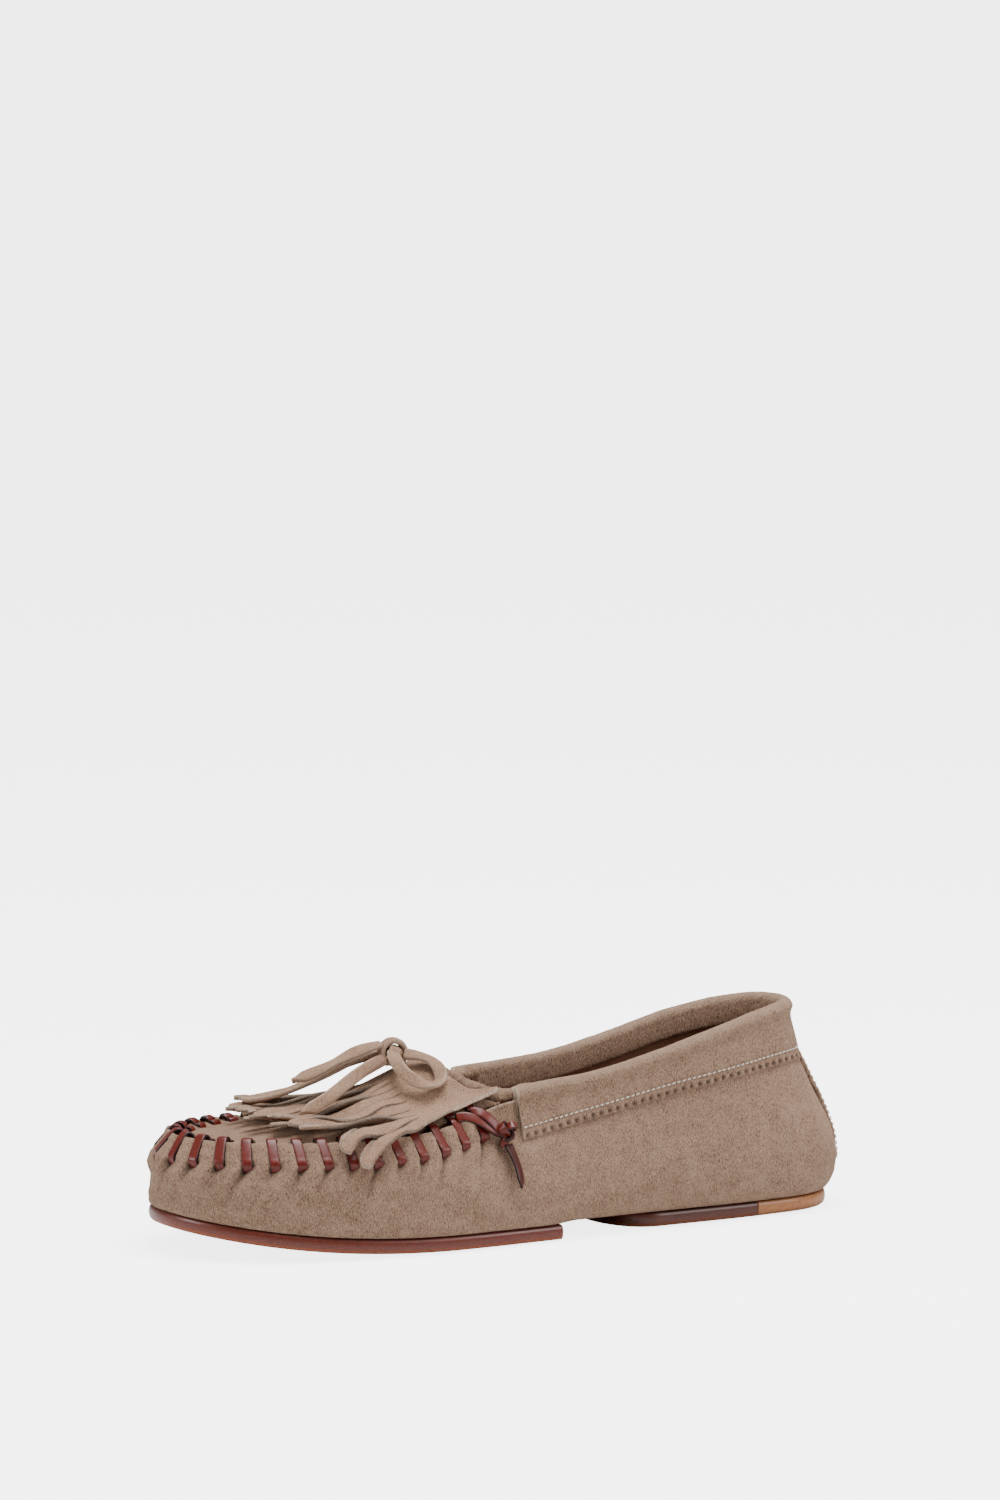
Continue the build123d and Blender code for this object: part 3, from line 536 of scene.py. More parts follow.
def gather(t, side, f):
    """Outward push and painted shade of the gathered edge: lobes between the stitches, a dent at
    each hole, and a gaussian crease that leans from the hole down to the toe and fades. The painted
    shade darkens the crease, the hole and the pinch at each stitch."""
    phase = stitch_phase(t, side)
    pitch = np.where(side > 0, run_end[1], run_end[-1]) / (STITCHES - 0.5)
    floor = bottom((share(t) - 0.5) * LENGTH)
    tall = through(EDGE_AT, EDGE_HEIGHT, share(t)) - floor - BULGE_HEIGHT
    down = (1 - f) * tall
    held = ease(STITCHES + 0.1, STITCHES - 0.9, phase)
    uneven = 0.75 + 0.35 * np.sin(np.round(phase) * 2.4 + side)
    lean = np.where(down < STITCH_DROP, down * math.tan(STITCH_TILT),
                    1.4 - 0.55 * (down - STITCH_DROP))
    off = phase - lean / pitch
    near = (off - np.round(off)) * pitch
    puff = np.abs(np.sin(np.pi * off)) ** 0.8 * np.exp(-(down / 7.5) ** 2) * PUFF
    slope = np.exp(-(near / 1.5) ** 2)
    tight = slope * np.exp(-(down / 7.0) ** 4) * PINCH
    fading = np.exp(-np.maximum(down - 7.2, 0) / (4.5 * uneven))
    tail = np.exp(-(near / 1.1) ** 2) * ease(5.4, 7.2, down) * fading * CREASE
    fold = np.exp(-((near + 2.6) / 1.5) ** 2 - ((down - 9.5) / 4.5) ** 2) * FOLD * uneven
    hole = np.exp(-(near / 1.6) ** 2 - ((down - 7.3) / 1.3) ** 2)
    push = held * (puff - tight - tail + fold - HOLE * hole)
    return push, -np.clip(held * (tail + 0.95 * hole + 0.35 * tight), 0, 1)


def wall_form(t, side, f, depth=0.0):
    """Wall with its gathers, slow waves and the soft folds behind the lacing, and its painted
    shade.
    """
    push, shade = gather(t, side, f)
    x, y = outline(t, side)
    z = f * 30
    soft = ease(-1.0, -0.3, f)
    wave = 0.35 * ripple(y + 40 * (side > 0), z * 1.4, 11, 34) + 0.16 * ripple(y, z, 12, 9)
    behind = ease(20, 70, y) * ease(0.3, 0.7, f) * ease(1.05, 0.9, f)
    heel_folds = 0.4 * np.sin(y * 0.16 + z * 0.09 + side) * behind
    soft = soft * (1 - 0.85 * ease(0.40, 0.47, share(t)) * ease(0.42, 0.6, f))
    over_sole = OVER_SOLE * ease(0.0, -1.0, f) * ease(0.56, 0.50, share(t))
    total = push + over_sole + soft * (wave + heel_folds)
    p = wall(t, side, f, depth)
    ox, oy = outward(t, side)
    rise = np.where(f > 0.9, 1, 0) * 0.35 * push
    # A faint random tone is added to the painted shade.
    shade = shade + 0.04 * np.clip(ripple(y, z, 13, 16), -1, 1)
    return p + np.stack([ox * total, oy * total, rise], -1), shade


HALF_COLUMNS = 470
t_ring = np.r_[np.linspace(0, 1, HALF_COLUMNS + 1), np.linspace(1, 0, HALF_COLUMNS + 1)[1:-1]]
side_ring = np.r_[np.ones(HALF_COLUMNS + 1), -np.ones(HALF_COLUMNS - 1)]
rise_rows = np.r_[-np.cos(np.linspace(0, np.pi / 2, 12)), np.linspace(0, 1, 62)[1:]]
tt, ff = np.meshgrid(t_ring, rise_rows)
ss = np.broadcast_to(side_ring, tt.shape)
outer, shade = wall_form(tt, ss, ff)
lip = []
for depth in (0.25, 0.75, 1.25, SUEDE):
    p, _ = wall_form(t_ring, side_ring, np.ones_like(t_ring), depth)
    p[:, 2] += 0.32 * math.sin(math.pi * depth / SUEDE)
    p[:, 2] += 0.08 * ripple(t_ring * 560, side_ring * 9, 21, 2.5)
    lip.append(p)
inner_rows = np.r_[np.linspace(1, 0, 16)[1:], -np.cos(np.linspace(np.pi / 2, 0, 6))[1:]]
ti, fi = np.meshgrid(t_ring, inner_rows)
inner = wall(ti, np.broadcast_to(side_ring, ti.shape), fi, SUEDE)
inner_lift = gather(ti, side_ring, fi)[0] * 0.9
ox, oy = outward(ti, np.broadcast_to(side_ring, ti.shape))
inner_push = np.stack([ox * inner_lift, oy * inner_lift, 0 * ox], -1)
inner = inner + inner_push * ease(0.2, 0.6, fi)[..., None]
middle = middle_line(share(t_ring))


def floor_rows(border, shares):
    """Rows that draw a closed border in to the outline's middle line, at the border's height."""
    rows = []
    for k in shares:
        p = border.copy()
        p[:, 0] = middle + (border[:, 0] - middle) * k
        rows.append(p)
    return np.stack(rows)


under = floor_rows(outer[0], (0.0, 0.4, 0.75, 0.92))
within = floor_rows(inner[-1], (0.92, 0.7, 0.35, 0.0))
wrap_grid = np.concatenate([under, outer, np.stack(lip), inner, within])
wrap_shade_and_wear = np.zeros(wrap_grid.shape[:2])
rim_row = len(under) + len(shade)
# The gathers' creases, holes and pinches get painted shade; the lip gets the suede's paler edge
# colour.
wrap_shade_and_wear[len(under):rim_row] = shade
wrap_shade_and_wear[rim_row - 1:rim_row + len(lip)] = 0.22 + 0.2 * ripple(t_ring * 560, side_ring, 22, 3)
surface("wrap_suede", [(wrap_grid, False, True)], suede, wear_and_shade=[wrap_shade_and_wear], hidden=("wrap",))


# ---------------------------------------------------------------- plug
# The apron over the toes and instep is a flat piece of the wrap's suede, drawn up at its edge
# where the lace holds it.
INSTEP_AT = (-135, -115, -102, -76.5, -51, -33, -10, 10)
INSTEP_HEIGHT = (37, 37.5, 39, 43, 50, 57.5, 62, 64)
PLUG_THICK, THROAT_Y, THROAT_DEEP = 1.3, -7.0, 25.0
throat_right, throat_left = edge_at(THROAT_Y, 1, 0) - 1, edge_at(THROAT_Y, -1, 0) + 1
throat_half = (throat_right - throat_left) / 2
THROAT_RADIUS = (throat_half ** 2 + THROAT_DEEP ** 2) / (2 * THROAT_DEEP)
THROAT = ((throat_right + throat_left) / 2, THROAT_Y - THROAT_DEEP + THROAT_RADIUS)


def crown(x, y):
    """Height of the plug: a parabola across from the wrap's edge up to the instep's line."""
    right, left = edge_at(y, 1, 0) - 1.0, edge_at(y, -1, 0) + 1.0
    off = (x - (left + right) / 2) / np.maximum((right - left) / 2, 1)
    low = (edge_at(y, 1, 2) + edge_at(y, -1, 2)) / 2 - 1.6
    top = through(INSTEP_AT, INSTEP_HEIGHT, y)
    return low + (top - low) * (1 - np.clip(off * off, 0, 1))


def plug_form(along, across, depth=0.0):
    """Plug's upper face. along goes from the toe to the foot opening's round edge, across from
    the medial edge to the lateral one. Near each edge it rises and puckers with the stitches."""
    reach = across * throat_half
    end = THROAT[1] - np.sqrt(np.maximum(THROAT_RADIUS ** 2 - (reach * 0.97) ** 2, 1))
    front = edge[1][0, 1] + 2.2
    half_front = 1 - np.sqrt(np.maximum(1 - across ** 2, 0))
    y = front + 12 * half_front + (end - front - 12 * half_front) * along
    right, left = edge_at(y, 1, 0), edge_at(y, -1, 0)
    x = (right + left) / 2 + across * ((right - left) / 2 - 1.9)
    z = crown(x, y)
    t = beside(np.clip(y, -127, 127))
    rim = np.exp(-((1 - np.abs(across)) * (right - left) / 2 / 3.2) ** 1.5)
    phase = stitch_phase(t, np.where(across > 0, 1, -1))
    z = z + rim * (1.0 + 1.0 * np.abs(np.sin(np.pi * phase)))
    z = z + 0.25 * ripple(x, y, 31, 22) * (1 - rim)
    return np.stack([x, y, z - depth], -1)


across_line = np.sin(np.linspace(-np.pi / 2, np.pi / 2, 61))
al, ac = np.meshgrid(np.linspace(0, 1, 170), across_line, indexing="ij")
plug_top, plug_low = plug_form(al, ac), plug_form(al, ac, PLUG_THICK)
plug_grid = np.concatenate([plug_top, plug_low[:, ::-1]], axis=1)
toe_cap = np.concatenate([plug_top[:1], plug_top[:1, ::-1]], axis=1)
throat_cap = np.concatenate([plug_top[-1:], plug_top[-1:, ::-1]], axis=1)
plug_grid = np.concatenate([toe_cap, plug_grid, throat_cap])
surface("plug_suede", [(plug_grid, False, True)], suede, hidden=("plug",))


# ---------------------------------------------------------------- whip lace
# A flat glossy lace goes in and out of the holes. Each stitch lies over the edge like a hoop, its
# cut sides nearly black.
LACE_WIDE, LACE_THICK, STRAP_LIFT, STRAP_REACH = 3.6, 1.5, 0.75, 4.6
lace_leather = leather("lace_leather", colour(72, 16, 6), colour(102, 28, 10), colour(16, 7, 6),
                       rough=0.36, sheen=0.0, bump=0.3, relief=0.0002, coat=0.12, spec=0.35)


def local_point(t, side, f, lift):
    """Distance out along the outline's normal, and height, of a point lifted off the wall."""
    p = wall(t, side, f, -lift)
    x, y = outline(t, side)
    ox, oy = outward(t, side)
    return (p[..., 0] - x) * ox + (p[..., 1] - y) * oy, p[..., 2]


strap_grids, strap_wears = [], []
for side in (1, -1):
    for k in range(STITCHES):
        place = np.interp(run_end[side] * (k + 0.5) / (STITCHES - 0.5), run[side], fine)
        r_edge, z_edge = local_point(place, side, 1.0, 0.0)
        tall = z_edge - bottom(outline(place, side)[1]) - BULGE_HEIGHT
        f_low = 1 - STITCH_DROP / tall
        fs = f_low + np.array([-1.0 / tall, 0.4 / tall, (1 - f_low) * 0.35, (1 - f_low) * 0.75])
        lifts = np.array([-1.2, STRAP_LIFT * 0.9, STRAP_LIFT, STRAP_LIFT + 0.1])
        rs, zs = local_point(np.full(4, place), side, fs, lifts)
        swing = np.radians((25, 65, 100, 135, 165))
        rs = np.r_[rs, r_edge - 0.8 + (0.9 + STRAP_LIFT) * np.cos(swing)]
        zs = np.r_[zs, z_edge + 0.1 + (0.6 + STRAP_LIFT) * np.sin(swing)]
        ox, oy = (float(v) for v in outward(place, side))
        base_x, base_y = (float(v) for v in outline(place, side))
        for inward in (2.6, 3.6, STRAP_REACH, STRAP_REACH + 0.8):
            px, py = base_x + ox * (r_edge - inward), base_y + oy * (r_edge - inward)
            rs = np.r_[rs, r_edge - inward]
            dip = 1.2 if inward > STRAP_REACH else -0.75
            zs = np.r_[zs, float(crown(px, max(py, -121.0))) + 0.6 - dip]
        knots = np.r_[0, np.cumsum(np.hypot(np.diff(rs), np.diff(zs)))]
        at = np.linspace(0, knots[-1], 44)
        rr, zz = through(knots, rs, at), through(knots, zs, at)
        slide = (z_edge - zz) * math.tan(STITCH_TILT) * np.where(at < knots[7], 1, 0.6)
        ahead = np.array(wall(place + 0.002, side, 1.0) - wall(place, side, 1.0))
        ahead[2] = 0
        ahead = unit(ahead)
        path = np.stack([
            base_x + ox * rr + ahead[0] * slide, base_y + oy * rr + ahead[1] * slide, zz,
        ], -1)
        face = np.cross(np.gradient(path, axis=0), ahead)
        grid, rim = strap(path, LACE_WIDE, LACE_THICK, face, power=4.5)
        strap_grids.append((grid, False, True))
        strap_wears.append(rim * 0.9)
surface("whip_lace_straps", strap_grids, lace_leather, wear_and_shade=strap_wears, hidden=("whip_lace",))


# ---------------------------------------------------------------- lace knots and ends
# Behind the last stitch on each side the lace is knotted, and its cut end hangs down the wall.
# The last two straps fan in to the knot from the edge.
KNOT_AT, KNOT_HEIGHT, LACE_END_WIDE, LOOSE = -14.0, 37.5, 3.2, 0.5
for side, word in ((1, "lateral"), (-1, "medial")):
    place = beside(KNOT_AT)
    f_knot = float(share_up(place, side, KNOT_HEIGHT))
    foot = wall(place, side, f_knot, -3.9)
    ox, oy = (float(v) for v in outward(place, side))
    turn = np.linspace(0, 2 * np.pi, 121)
    curl = np.stack([
        np.sin(turn) + 2 * np.sin(2 * turn), np.cos(turn) - 2 * np.cos(2 * turn), -np.sin(3 * turn),
    ], -1)
    frame_axes = np.array([[-oy, ox, 0], [0, 0, 1], [ox, oy, 0]])
    loops = foot + (curl * (1.0, 1.05, 1.5)) @ frame_axes
    grid, rim = strap(loops[:-1], LACE_END_WIDE, 1.25, unit(loops[:-1] - foot + 1e-6), power=5.0)
    grid, rim = grid[1:-1], rim[1:-1]
    second = np.array([-oy, ox, 0]) * -side
    end_path = foot + np.array([
        (0, 0, -1.0), second * 1.0 + (0, 0, -3.4), second * 2.8 + (0, 0, -5.5),
    ])
    spots = np.linspace(0, 1, 20)
    end_line = np.stack([np.interp(spots, (0, 0.5, 1), end_path[:, i]) for i in range(3)], -1)
    end_grid, end_rim = strap(end_line, LACE_END_WIDE, 1.0, (ox, oy, 0.2),
                              width_at=1 - 0.5 * ease(0.7, 1, spots))
    knot_parts = [(grid, True, True), (end_grid, False, True)]
    knot_rims = [rim * 0.8, end_rim * 0.8]
    for y_from, bow_out in ((-31.0, 0.9), (-25.0, 1.5)):
        stops = np.linspace(0, 1, 40)
        y_line = y_from + (-14.6 - y_from) * stops
        p_line = beside(y_line)
        f_line = 1.02 - (1.02 - f_knot) * ease(0.0, 1.0, stops) ** 1.3
        lift_line = -(0.9 + bow_out * np.sin(np.pi * stops) + 1.6 * stops)
        fan = wall(p_line, side, f_line, lift_line)
        fan[:, 2] += 1.2 * (1 - stops) ** 2
        fan_grid, fan_rim = strap(fan, 3.5, 1.4, (ox, oy, 0.55), power=4.5)
        knot_parts.append((fan_grid, False, True))
        knot_rims.append(fan_rim * 0.9)
    surface("lace_knot_" + word + "_leather", knot_parts, lace_leather, wear_and_shade=knot_rims,
            hidden=("lace_knot_" + word,))
    z_top = KNOT_HEIGHT - 3.4 - LOOSE
    tail_z = np.linspace(z_top - 0.2, z_top - 14.0, 40)
    down = np.linspace(0, 1, 40)
    off_wall = 1.9 + 1.0 * down + 0.5 * np.sin(3 * down)
    drop = wall(np.full(40, place), side, share_up(place, side, tail_z), -off_wall)
    drop = drop + np.outer(0.7 * np.sin(2.2 * down), np.array([-oy, ox, 0]))
    grid, rim = strap(drop, LACE_END_WIDE, 0.95, (ox, oy, 0.1), twist=0.35 * np.sin(2.5 * down),
                      width_at=1 - 0.8 * ease(0.78, 1, down))
    surface("lace_tail_" + word + "_leather", [(grid, False, True)], lace_leather, word + "_tail",
            [np.clip(rim + 0.55, 0, 1)], ("lace_tail_" + word,))


# ---------------------------------------------------------------- throat roll
# The foot opening's front edge is bound with a padded suede roll, wrinkled across. Its ends run
# a little way back along the wrap's edge.
ROLL_RADIUS, ROLL_INSET = 2.62, 3.05
sweep_end = math.asin(min(1.0, throat_half / THROAT_RADIUS))
angle = np.linspace(-sweep_end, sweep_end, 240)
roll_path = np.stack([
    THROAT[0] + (THROAT_RADIUS - ROLL_INSET) * np.sin(angle),
    THROAT[1] - (THROAT_RADIUS - ROLL_INSET) * np.cos(angle), 0 * angle,
], -1)
roll_path[:, 2] = crown(roll_path[:, 0], roll_path[:, 1]) - SUEDE / 2
for side in (-1, 1):
    ys = np.linspace(roll_path[0 if side < 0 else -1, 1] + 1, 1.0, 24)
    end = np.stack([edge_at(ys, side, 0) - side * (4.3 - 1.2 * ease(-8, 0, ys)), ys,
                    edge_at(ys, side, 2) + 0.6 + 1.6 * ease(-9, -3, ys)], -1)
    roll_path = np.concatenate([end[::-1], roll_path] if side < 0 else [roll_path, end])
lengths = np.r_[0, np.cumsum(np.linalg.norm(np.diff(roll_path, axis=0), axis=1))]
at = np.linspace(0, lengths[-1], 280)
evened = [np.pad(np.interp(at, lengths, roll_path[:, k]), 6, "edge") for k in range(3)]
roll_path = np.stack([np.convolve(v, np.ones(13) / 13, "valid") for v in evened], -1)
spin = np.linspace(0, 2 * np.pi, 41)[:-1]
aa, cc = np.meshgrid(at, spin, indexing="ij")
wrinkle = ripple(aa, cc * 1.2, 41, 4.5)
swell = ROLL_RADIUS + 0.14 * wrinkle + 0.08 * ripple(aa, cc, 42, 1.8)
tangent = unit(np.gradient(roll_path, axis=0))
side_dir = unit(np.cross(tangent, (0, 0, 1.0)))
up_dir = np.cross(side_dir, tangent)
rounded = np.sqrt(ease(0, 1, np.linspace(0.1, 1, 6)))
swell = swell * np.r_[0.0, rounded, np.ones(266), rounded[::-1], 0.0][:, None]
roll = (roll_path[:, None] + side_dir[:, None] * (swell * np.cos(cc))[..., None]
        + up_dir[:, None] * (swell * np.sin(cc))[..., None])
# The wrinkles' troughs are darkened with painted shade.
surface("throat_roll_suede", [(roll, False, True)], suede, wear_and_shade=[0.25 * np.clip(wrinkle, -1, 0)],
        hidden=("throat_roll",))


# ---------------------------------------------------------------- lining and insole
# Inside, a thin brown leather lines the quarters down to the sock. The sock covers a foam
# cushion, which lies on a board.
LINING, BAND_FROM, LINING_FROM = 0.8, 0.474, 9.4
BOARD, FOAM, SOCK = 1.6, 4.0, 0.8
lining_leather = leather("lining_leather", colour(96, 66, 50), colour(128, 92, 72),
                         colour(150, 120, 100), rough=0.7, sheen=0.1, bump=0.3, relief=0.0002)
sock_leather = leather("sock_leather", colour(120, 84, 60), colour(150, 110, 84),
                       colour(96, 66, 48), rough=0.55, sheen=0.05, bump=0.3, relief=0.0002)
foam_stuff = leather("foam", colour(196, 186, 160), colour(222, 214, 190), colour(235, 230, 212),
                     bump=0.8)


def band_places(place_from, columns):
    """Places and sides of a band from the lateral end round the heel to the medial end."""
    t = np.linspace(place_of(place_from), 1, columns)
    return np.r_[t, t[::-1][1:]], np.r_[np.ones(columns), -np.ones(columns - 1)]


t_band, s_band = band_places(BAND_FROM, 240)
lining_faces = []
for depth, order in ((SUEDE + GAP, 1), (SUEDE + GAP + LINING, -1)):
    low_f = share_up(t_band, s_band, SOLE + LINING_FROM)
    rows = np.linspace(0, 1, 26)[::order]
    f = low_f + (1.0 - low_f) * rows[:, None]
    crease = 0.25 * ripple(t_band * 300, rows[:, None] * 50, 51, 12)
    lining_faces.append(wall(t_band, s_band, f, depth + crease * np.sin(np.pi * rows[:, None])))
lining_grid = np.concatenate(lining_faces)
lining_grid = np.concatenate([lining_grid[:, :1] * 0.5 + lining_grid[::-1, :1] * 0.5, lining_grid,
                              lining_grid[:, -1:] * 0.5 + lining_grid[::-1, -1:] * 0.5], axis=1)
surface("quarter_lining_leather", [(lining_grid, True, False)], lining_leather,
        hidden=("quarter_lining",))


def stack_grid(margin, low, high, dish=0.0):
    """Closed slab inside the outline, offset by margin. dish lowers its middle as a parabola."""
    rows, profile = [], ((0.0, 0), (0.5, 0), (0.85, 0), (1.0, 0), (1.0, 0.5), (1.0, 1), (0.95, 1),
                         (0.8, 1), (0.6, 1), (0.4, 1), (0.2, 1), (0.0, 1))
    x, y = outline(t_ring, side_ring)
    ox, oy = outward(t_ring, side_ring)
    x, y = x + ox * margin, y + oy * margin
    for k, h in profile:
        z = bottom(y) + low + (high - low) * h
        if h == 1:
            z = z - dish * (1 - k * k) + 0.15 * ripple(middle + (x - middle) * k, y, 61, 30)
        rows.append(np.stack([middle + (x - middle) * k, y, z], -1))
    return np.stack(rows)


board_start = SUEDE + 2 * GAP
foam_start = board_start + BOARD + GAP
sock_start = foam_start + FOAM + GAP + 0.2
sock_grid = stack_grid(-0.9, sock_start, sock_start + SOCK, 0.5)
surface("sock_leather_lining", [(sock_grid, False, True)], sock_leather, hidden=("sock_lining",))
foam_grid = stack_grid(-2.4, foam_start, foam_start + FOAM - 0.2, 0.3)
footbed = surface("footbed_cushion", [(foam_grid, False, True)], foam_stuff,
                  hidden=("footbed_foam",))


# ---------------------------------------------------------------- collar
# Suede folded over a soft core goes round the foot opening. It is sewn down near its lower edge
# with pale thread, and its tucked seam below the thread shows a row of dimples. The dimples, the
# thread's groove and the inner leg's lower end are darkened with painted shade, and the roll's top
# is lightened with a painted highlight.
TRIM, COLLAR_COLUMNS, DIMPLE, INNER_LEG = 1.4, 420, 3.4, 6.8
DIMPLE_DEEP, DIMPLE_SHADE, SEAM_TO_DIMPLE, THREAD_ABOVE = 0.9, 0.85, -0.5, 2.2


def collar_section(t, side):
    """Roll's centre as distance out and height, and its outer radius."""
    r, z = local_point(t, side, 1.0, 0.0)
    inner_reach, outer_reach = SUEDE + GAP + LINING + LOOSE + TRIM, LOOSE + TRIM
    return r + (outer_reach - inner_reach) / 2, z + 1.8, (inner_reach + outer_reach) / 2


def collar_low(t):
    """Height of the collar's lower edge: low at the throat, rising to the heel."""
    return through((0.4, 0.6, 0.74, 0.9, 1), (33, 42, 48.5, 53.5, 54), share(t))


t_col, s_col = band_places(BAND_FROM, COLLAR_COLUMNS)
col_points = wall(t_col, s_col, 0.9)
col_run = np.r_[0, np.cumsum(np.linalg.norm(np.diff(col_points, axis=0), axis=1))]
r_c, z_c, radius_c = collar_section(t_col, s_col)
start_f = share_up(t_col, s_col, collar_low(t_col))
ox, oy = outward(t_col, s_col)
base_x, base_y = outline(t_col, s_col)
dimple = np.abs(np.sin(np.pi * col_run / DIMPLE)) ** 2.5
rows, painted_shading = [], []
row_list = [("seam", v) for v in (-1.7, -1.45, -1.1, -0.7, -0.3, 0.1, 0.5)]
row_list += [("face", v) for v in np.linspace(0.06, 1, 22)]
row_list += [("bend", v) for v in np.linspace(6, 174, 22)]
row_list += [("leg", v) for v in np.linspace(0.02, 1, 12)]
fold = 0.07 * ripple(col_run, 0 * col_run, 71, 14) + 0.04 * ripple(col_run, 0 * col_run, 72, 5)
for kind, v in row_list:
    if kind == "seam":
        f = share_up(t_col, s_col, collar_low(t_col) + v)
        swell = {-1.7: -0.4, -1.45: 0.25}.get(v, 0.55 + 0.3 * math.sin((v + 1.7) * 1.4))
        sunk = dimple * max(0, 1 - ((v - SEAM_TO_DIMPLE) / 1.1) ** 2)
        lift = 0.75 + swell * 0.7 - DIMPLE_DEEP * sunk
        r, z = local_point(t_col, s_col, f, lift)
        # Painted shade in each dimple, as deep as the dimple is sunk.
        painted_shading.append(-DIMPLE_SHADE * sunk)
    elif kind == "face":
        f = start_f + (1 - start_f) * v
        above = (f - start_f) * (z_c - collar_low(t_col)) / np.maximum(1 - start_f, 0.05)
        sewn = np.exp(-((above - THREAD_ABOVE) / 0.9) ** 2)
        lift = 1.0 + 0.55 * math.sin(math.pi * min(v * 1.15, 1)) - 0.35 * sewn
        lift = lift + fold * math.sin(math.pi * v * 0.8)
        r, z = local_point(t_col, s_col, f, lift)
        # Painted shade along the thread's groove.
        painted_shading.append(-0.12 * sewn)
    elif kind == "bend":
        a = math.radians(v)
        bend = radius_c - 0.15 + fold * 0.8 * math.sin(a)
        r, z = r_c + bend * math.cos(a), z_c + bend * math.sin(a)
        # Painted highlight along the roll's top.
        painted_shading.append(0.12 * math.sin(a))
    else:
        sag = 0.35 * math.sin(math.pi * v) + fold * 0.5
        r, z = r_c - radius_c + 0.15 - sag * 0.6, z_c - INNER_LEG * v
        # Painted shade at the inner leg's lower end.
        painted_shading.append(-0.3 * (v > 0.9))
    rows.append(np.stack([base_x + ox * r, base_y + oy * r, np.broadcast_to(z, t_col.shape)], -1))
outer_skin = np.stack(rows)
skin_shading = np.stack([np.broadcast_to(w, t_col.shape) for w in painted_shading])
inner_skin, thin = [], radius_c - TRIM + 0.1
for kind, v in (("leg", 1.0), ("leg", 0.5), ("bend", 180), ("bend", 135), ("bend", 90),
                ("bend", 45), ("bend", 0), ("face", 0.5), ("face", 0.0), ("face", -0.1)):
    if kind == "leg":
        r, z = r_c - thin, z_c - INNER_LEG * v
    elif kind == "bend":
        a = math.radians(v)
        r, z = r_c + thin * math.cos(a), z_c + thin * math.sin(a)
    else:
        r, z = local_point(t_col, s_col, start_f + (1 - start_f) * v, 0.1)
    z = np.broadcast_to(z, t_col.shape)
    inner_skin.append(np.stack([base_x + ox * r, base_y + oy * r, z], -1))
collar_grid = np.concatenate([outer_skin, np.stack(inner_skin)])
collar_shading_and_edges = np.concatenate([skin_shading, np.zeros((len(inner_skin), len(t_col)))])
collar_shading_and_edges[:, :1], collar_shading_and_edges[:, -1:] = 0.9, 0.9


def end_cap(grid, column):
    """Column that closes a ring section: each point is halfway to the one across from it."""
    return ((grid[:, column] + grid[::-1, column]) / 2)[:, None]


caps = end_cap(collar_grid, 0), end_cap(collar_grid, -1)
collar_grid = np.concatenate([caps[0], collar_grid, caps[1]], axis=1)
collar_shading_and_edges = np.concatenate([collar_shading_and_edges[:, :1], collar_shading_and_edges, collar_shading_and_edges[:, -1:]], axis=1)
surface("collar_suede", [(collar_grid, True, False)], suede, wear_and_shade=[collar_shading_and_edges], hidden=("collar",))
core = []
from_end = np.minimum(col_run, col_run[-1] - col_run)
size = (radius_c - TRIM - 0.3) * np.sqrt(np.clip(from_end / 2, 0, 1))
for a in np.linspace(0, 2 * np.pi, 17)[:-1]:
    r, z = r_c + size * math.cos(a), z_c + size * math.sin(a)
    core.append(np.stack([base_x + ox * r, base_y + oy * r, z], -1))
core = surface("collar_core", [(np.stack(core), True, False)], foam_stuff,
               hidden=("collar_padding",))


# ---------------------------------------------------------------- back stay and thread
# A strip of suede covers the seam at the heel, sewn down both sides. Every thread stitch is a
# short pale capsule, a little aslant.
STAY_HALF, STAY_TOP, THREAD_PITCH, THREAD_FIRST = 7.0, 52.3, 2.1, 1.6
thread = leather("thread", colour(186, 176, 164), colour(228, 220, 208), colour(240, 236, 228),
                 rough=0.75, sheen=0.1, bump=0.6, relief=0.0002)


def dash_grid(middle_point, along, out, length, width):
    """Capsule of thread: a superellipse section along a short run with pinched ends."""
    steps = np.linspace(-1, 1, 7)
    sunk = 0.12 * (1 - steps ** 2) - 0.16
    path = middle_point + np.outer(steps * length / 2, along) + np.outer(sunk, out)
    grid, _ = strap(path, width, width * 0.75, out, power=2.5, steps=8,
                    width_at=np.sqrt(np.clip(1.15 - steps ** 2, 0.1, 1)))
    return grid, False, True


stay_rows = np.linspace(0, 1, 60)
stay_x = np.linspace(-STAY_HALF, STAY_HALF, 33)
z_low = SOLE + 4.5
heel_places = fine[1500:]
heel_x = -wall(heel_places, 1, 0.3)[:, 0]
stay = []
for lift, cols in ((0.15, slice(None, None, -1)), (1.95, slice(None))):
    zz, xx = np.meshgrid(z_low + (STAY_TOP - z_low) * stay_rows, stay_x, indexing="ij")
    side = np.where(xx >= 0, 1, -1)
    taper = 1 - 0.25 * (1 - stay_rows)[:, None]
    place_s = np.interp(-np.abs(xx * taper), heel_x, heel_places)
    f = share_up(place_s, side, zz)
    round_off = 0.7 * (np.abs(xx) / STAY_HALF) ** 6 if lift > 1 else 0
    p = wall(place_s, side, f, -(lift - round_off + 0.12 * ripple(xx, zz, 81, 7)))
    stay.append(p[:, cols])
stay_grid = np.concatenate([stay[1], stay[0]], axis=1)
low_edge, top_edge = ((row + row[:, ::-1]) / 2 for row in (stay_grid[:1], stay_grid[-1:]))
stay_grid = np.concatenate([low_edge, stay_grid, top_edge])
surface("back_stay_suede", [(stay_grid, False, True)], suede, hidden=("back_stay",))
dashes, t_row = [], t_col[:COLLAR_COLUMNS]
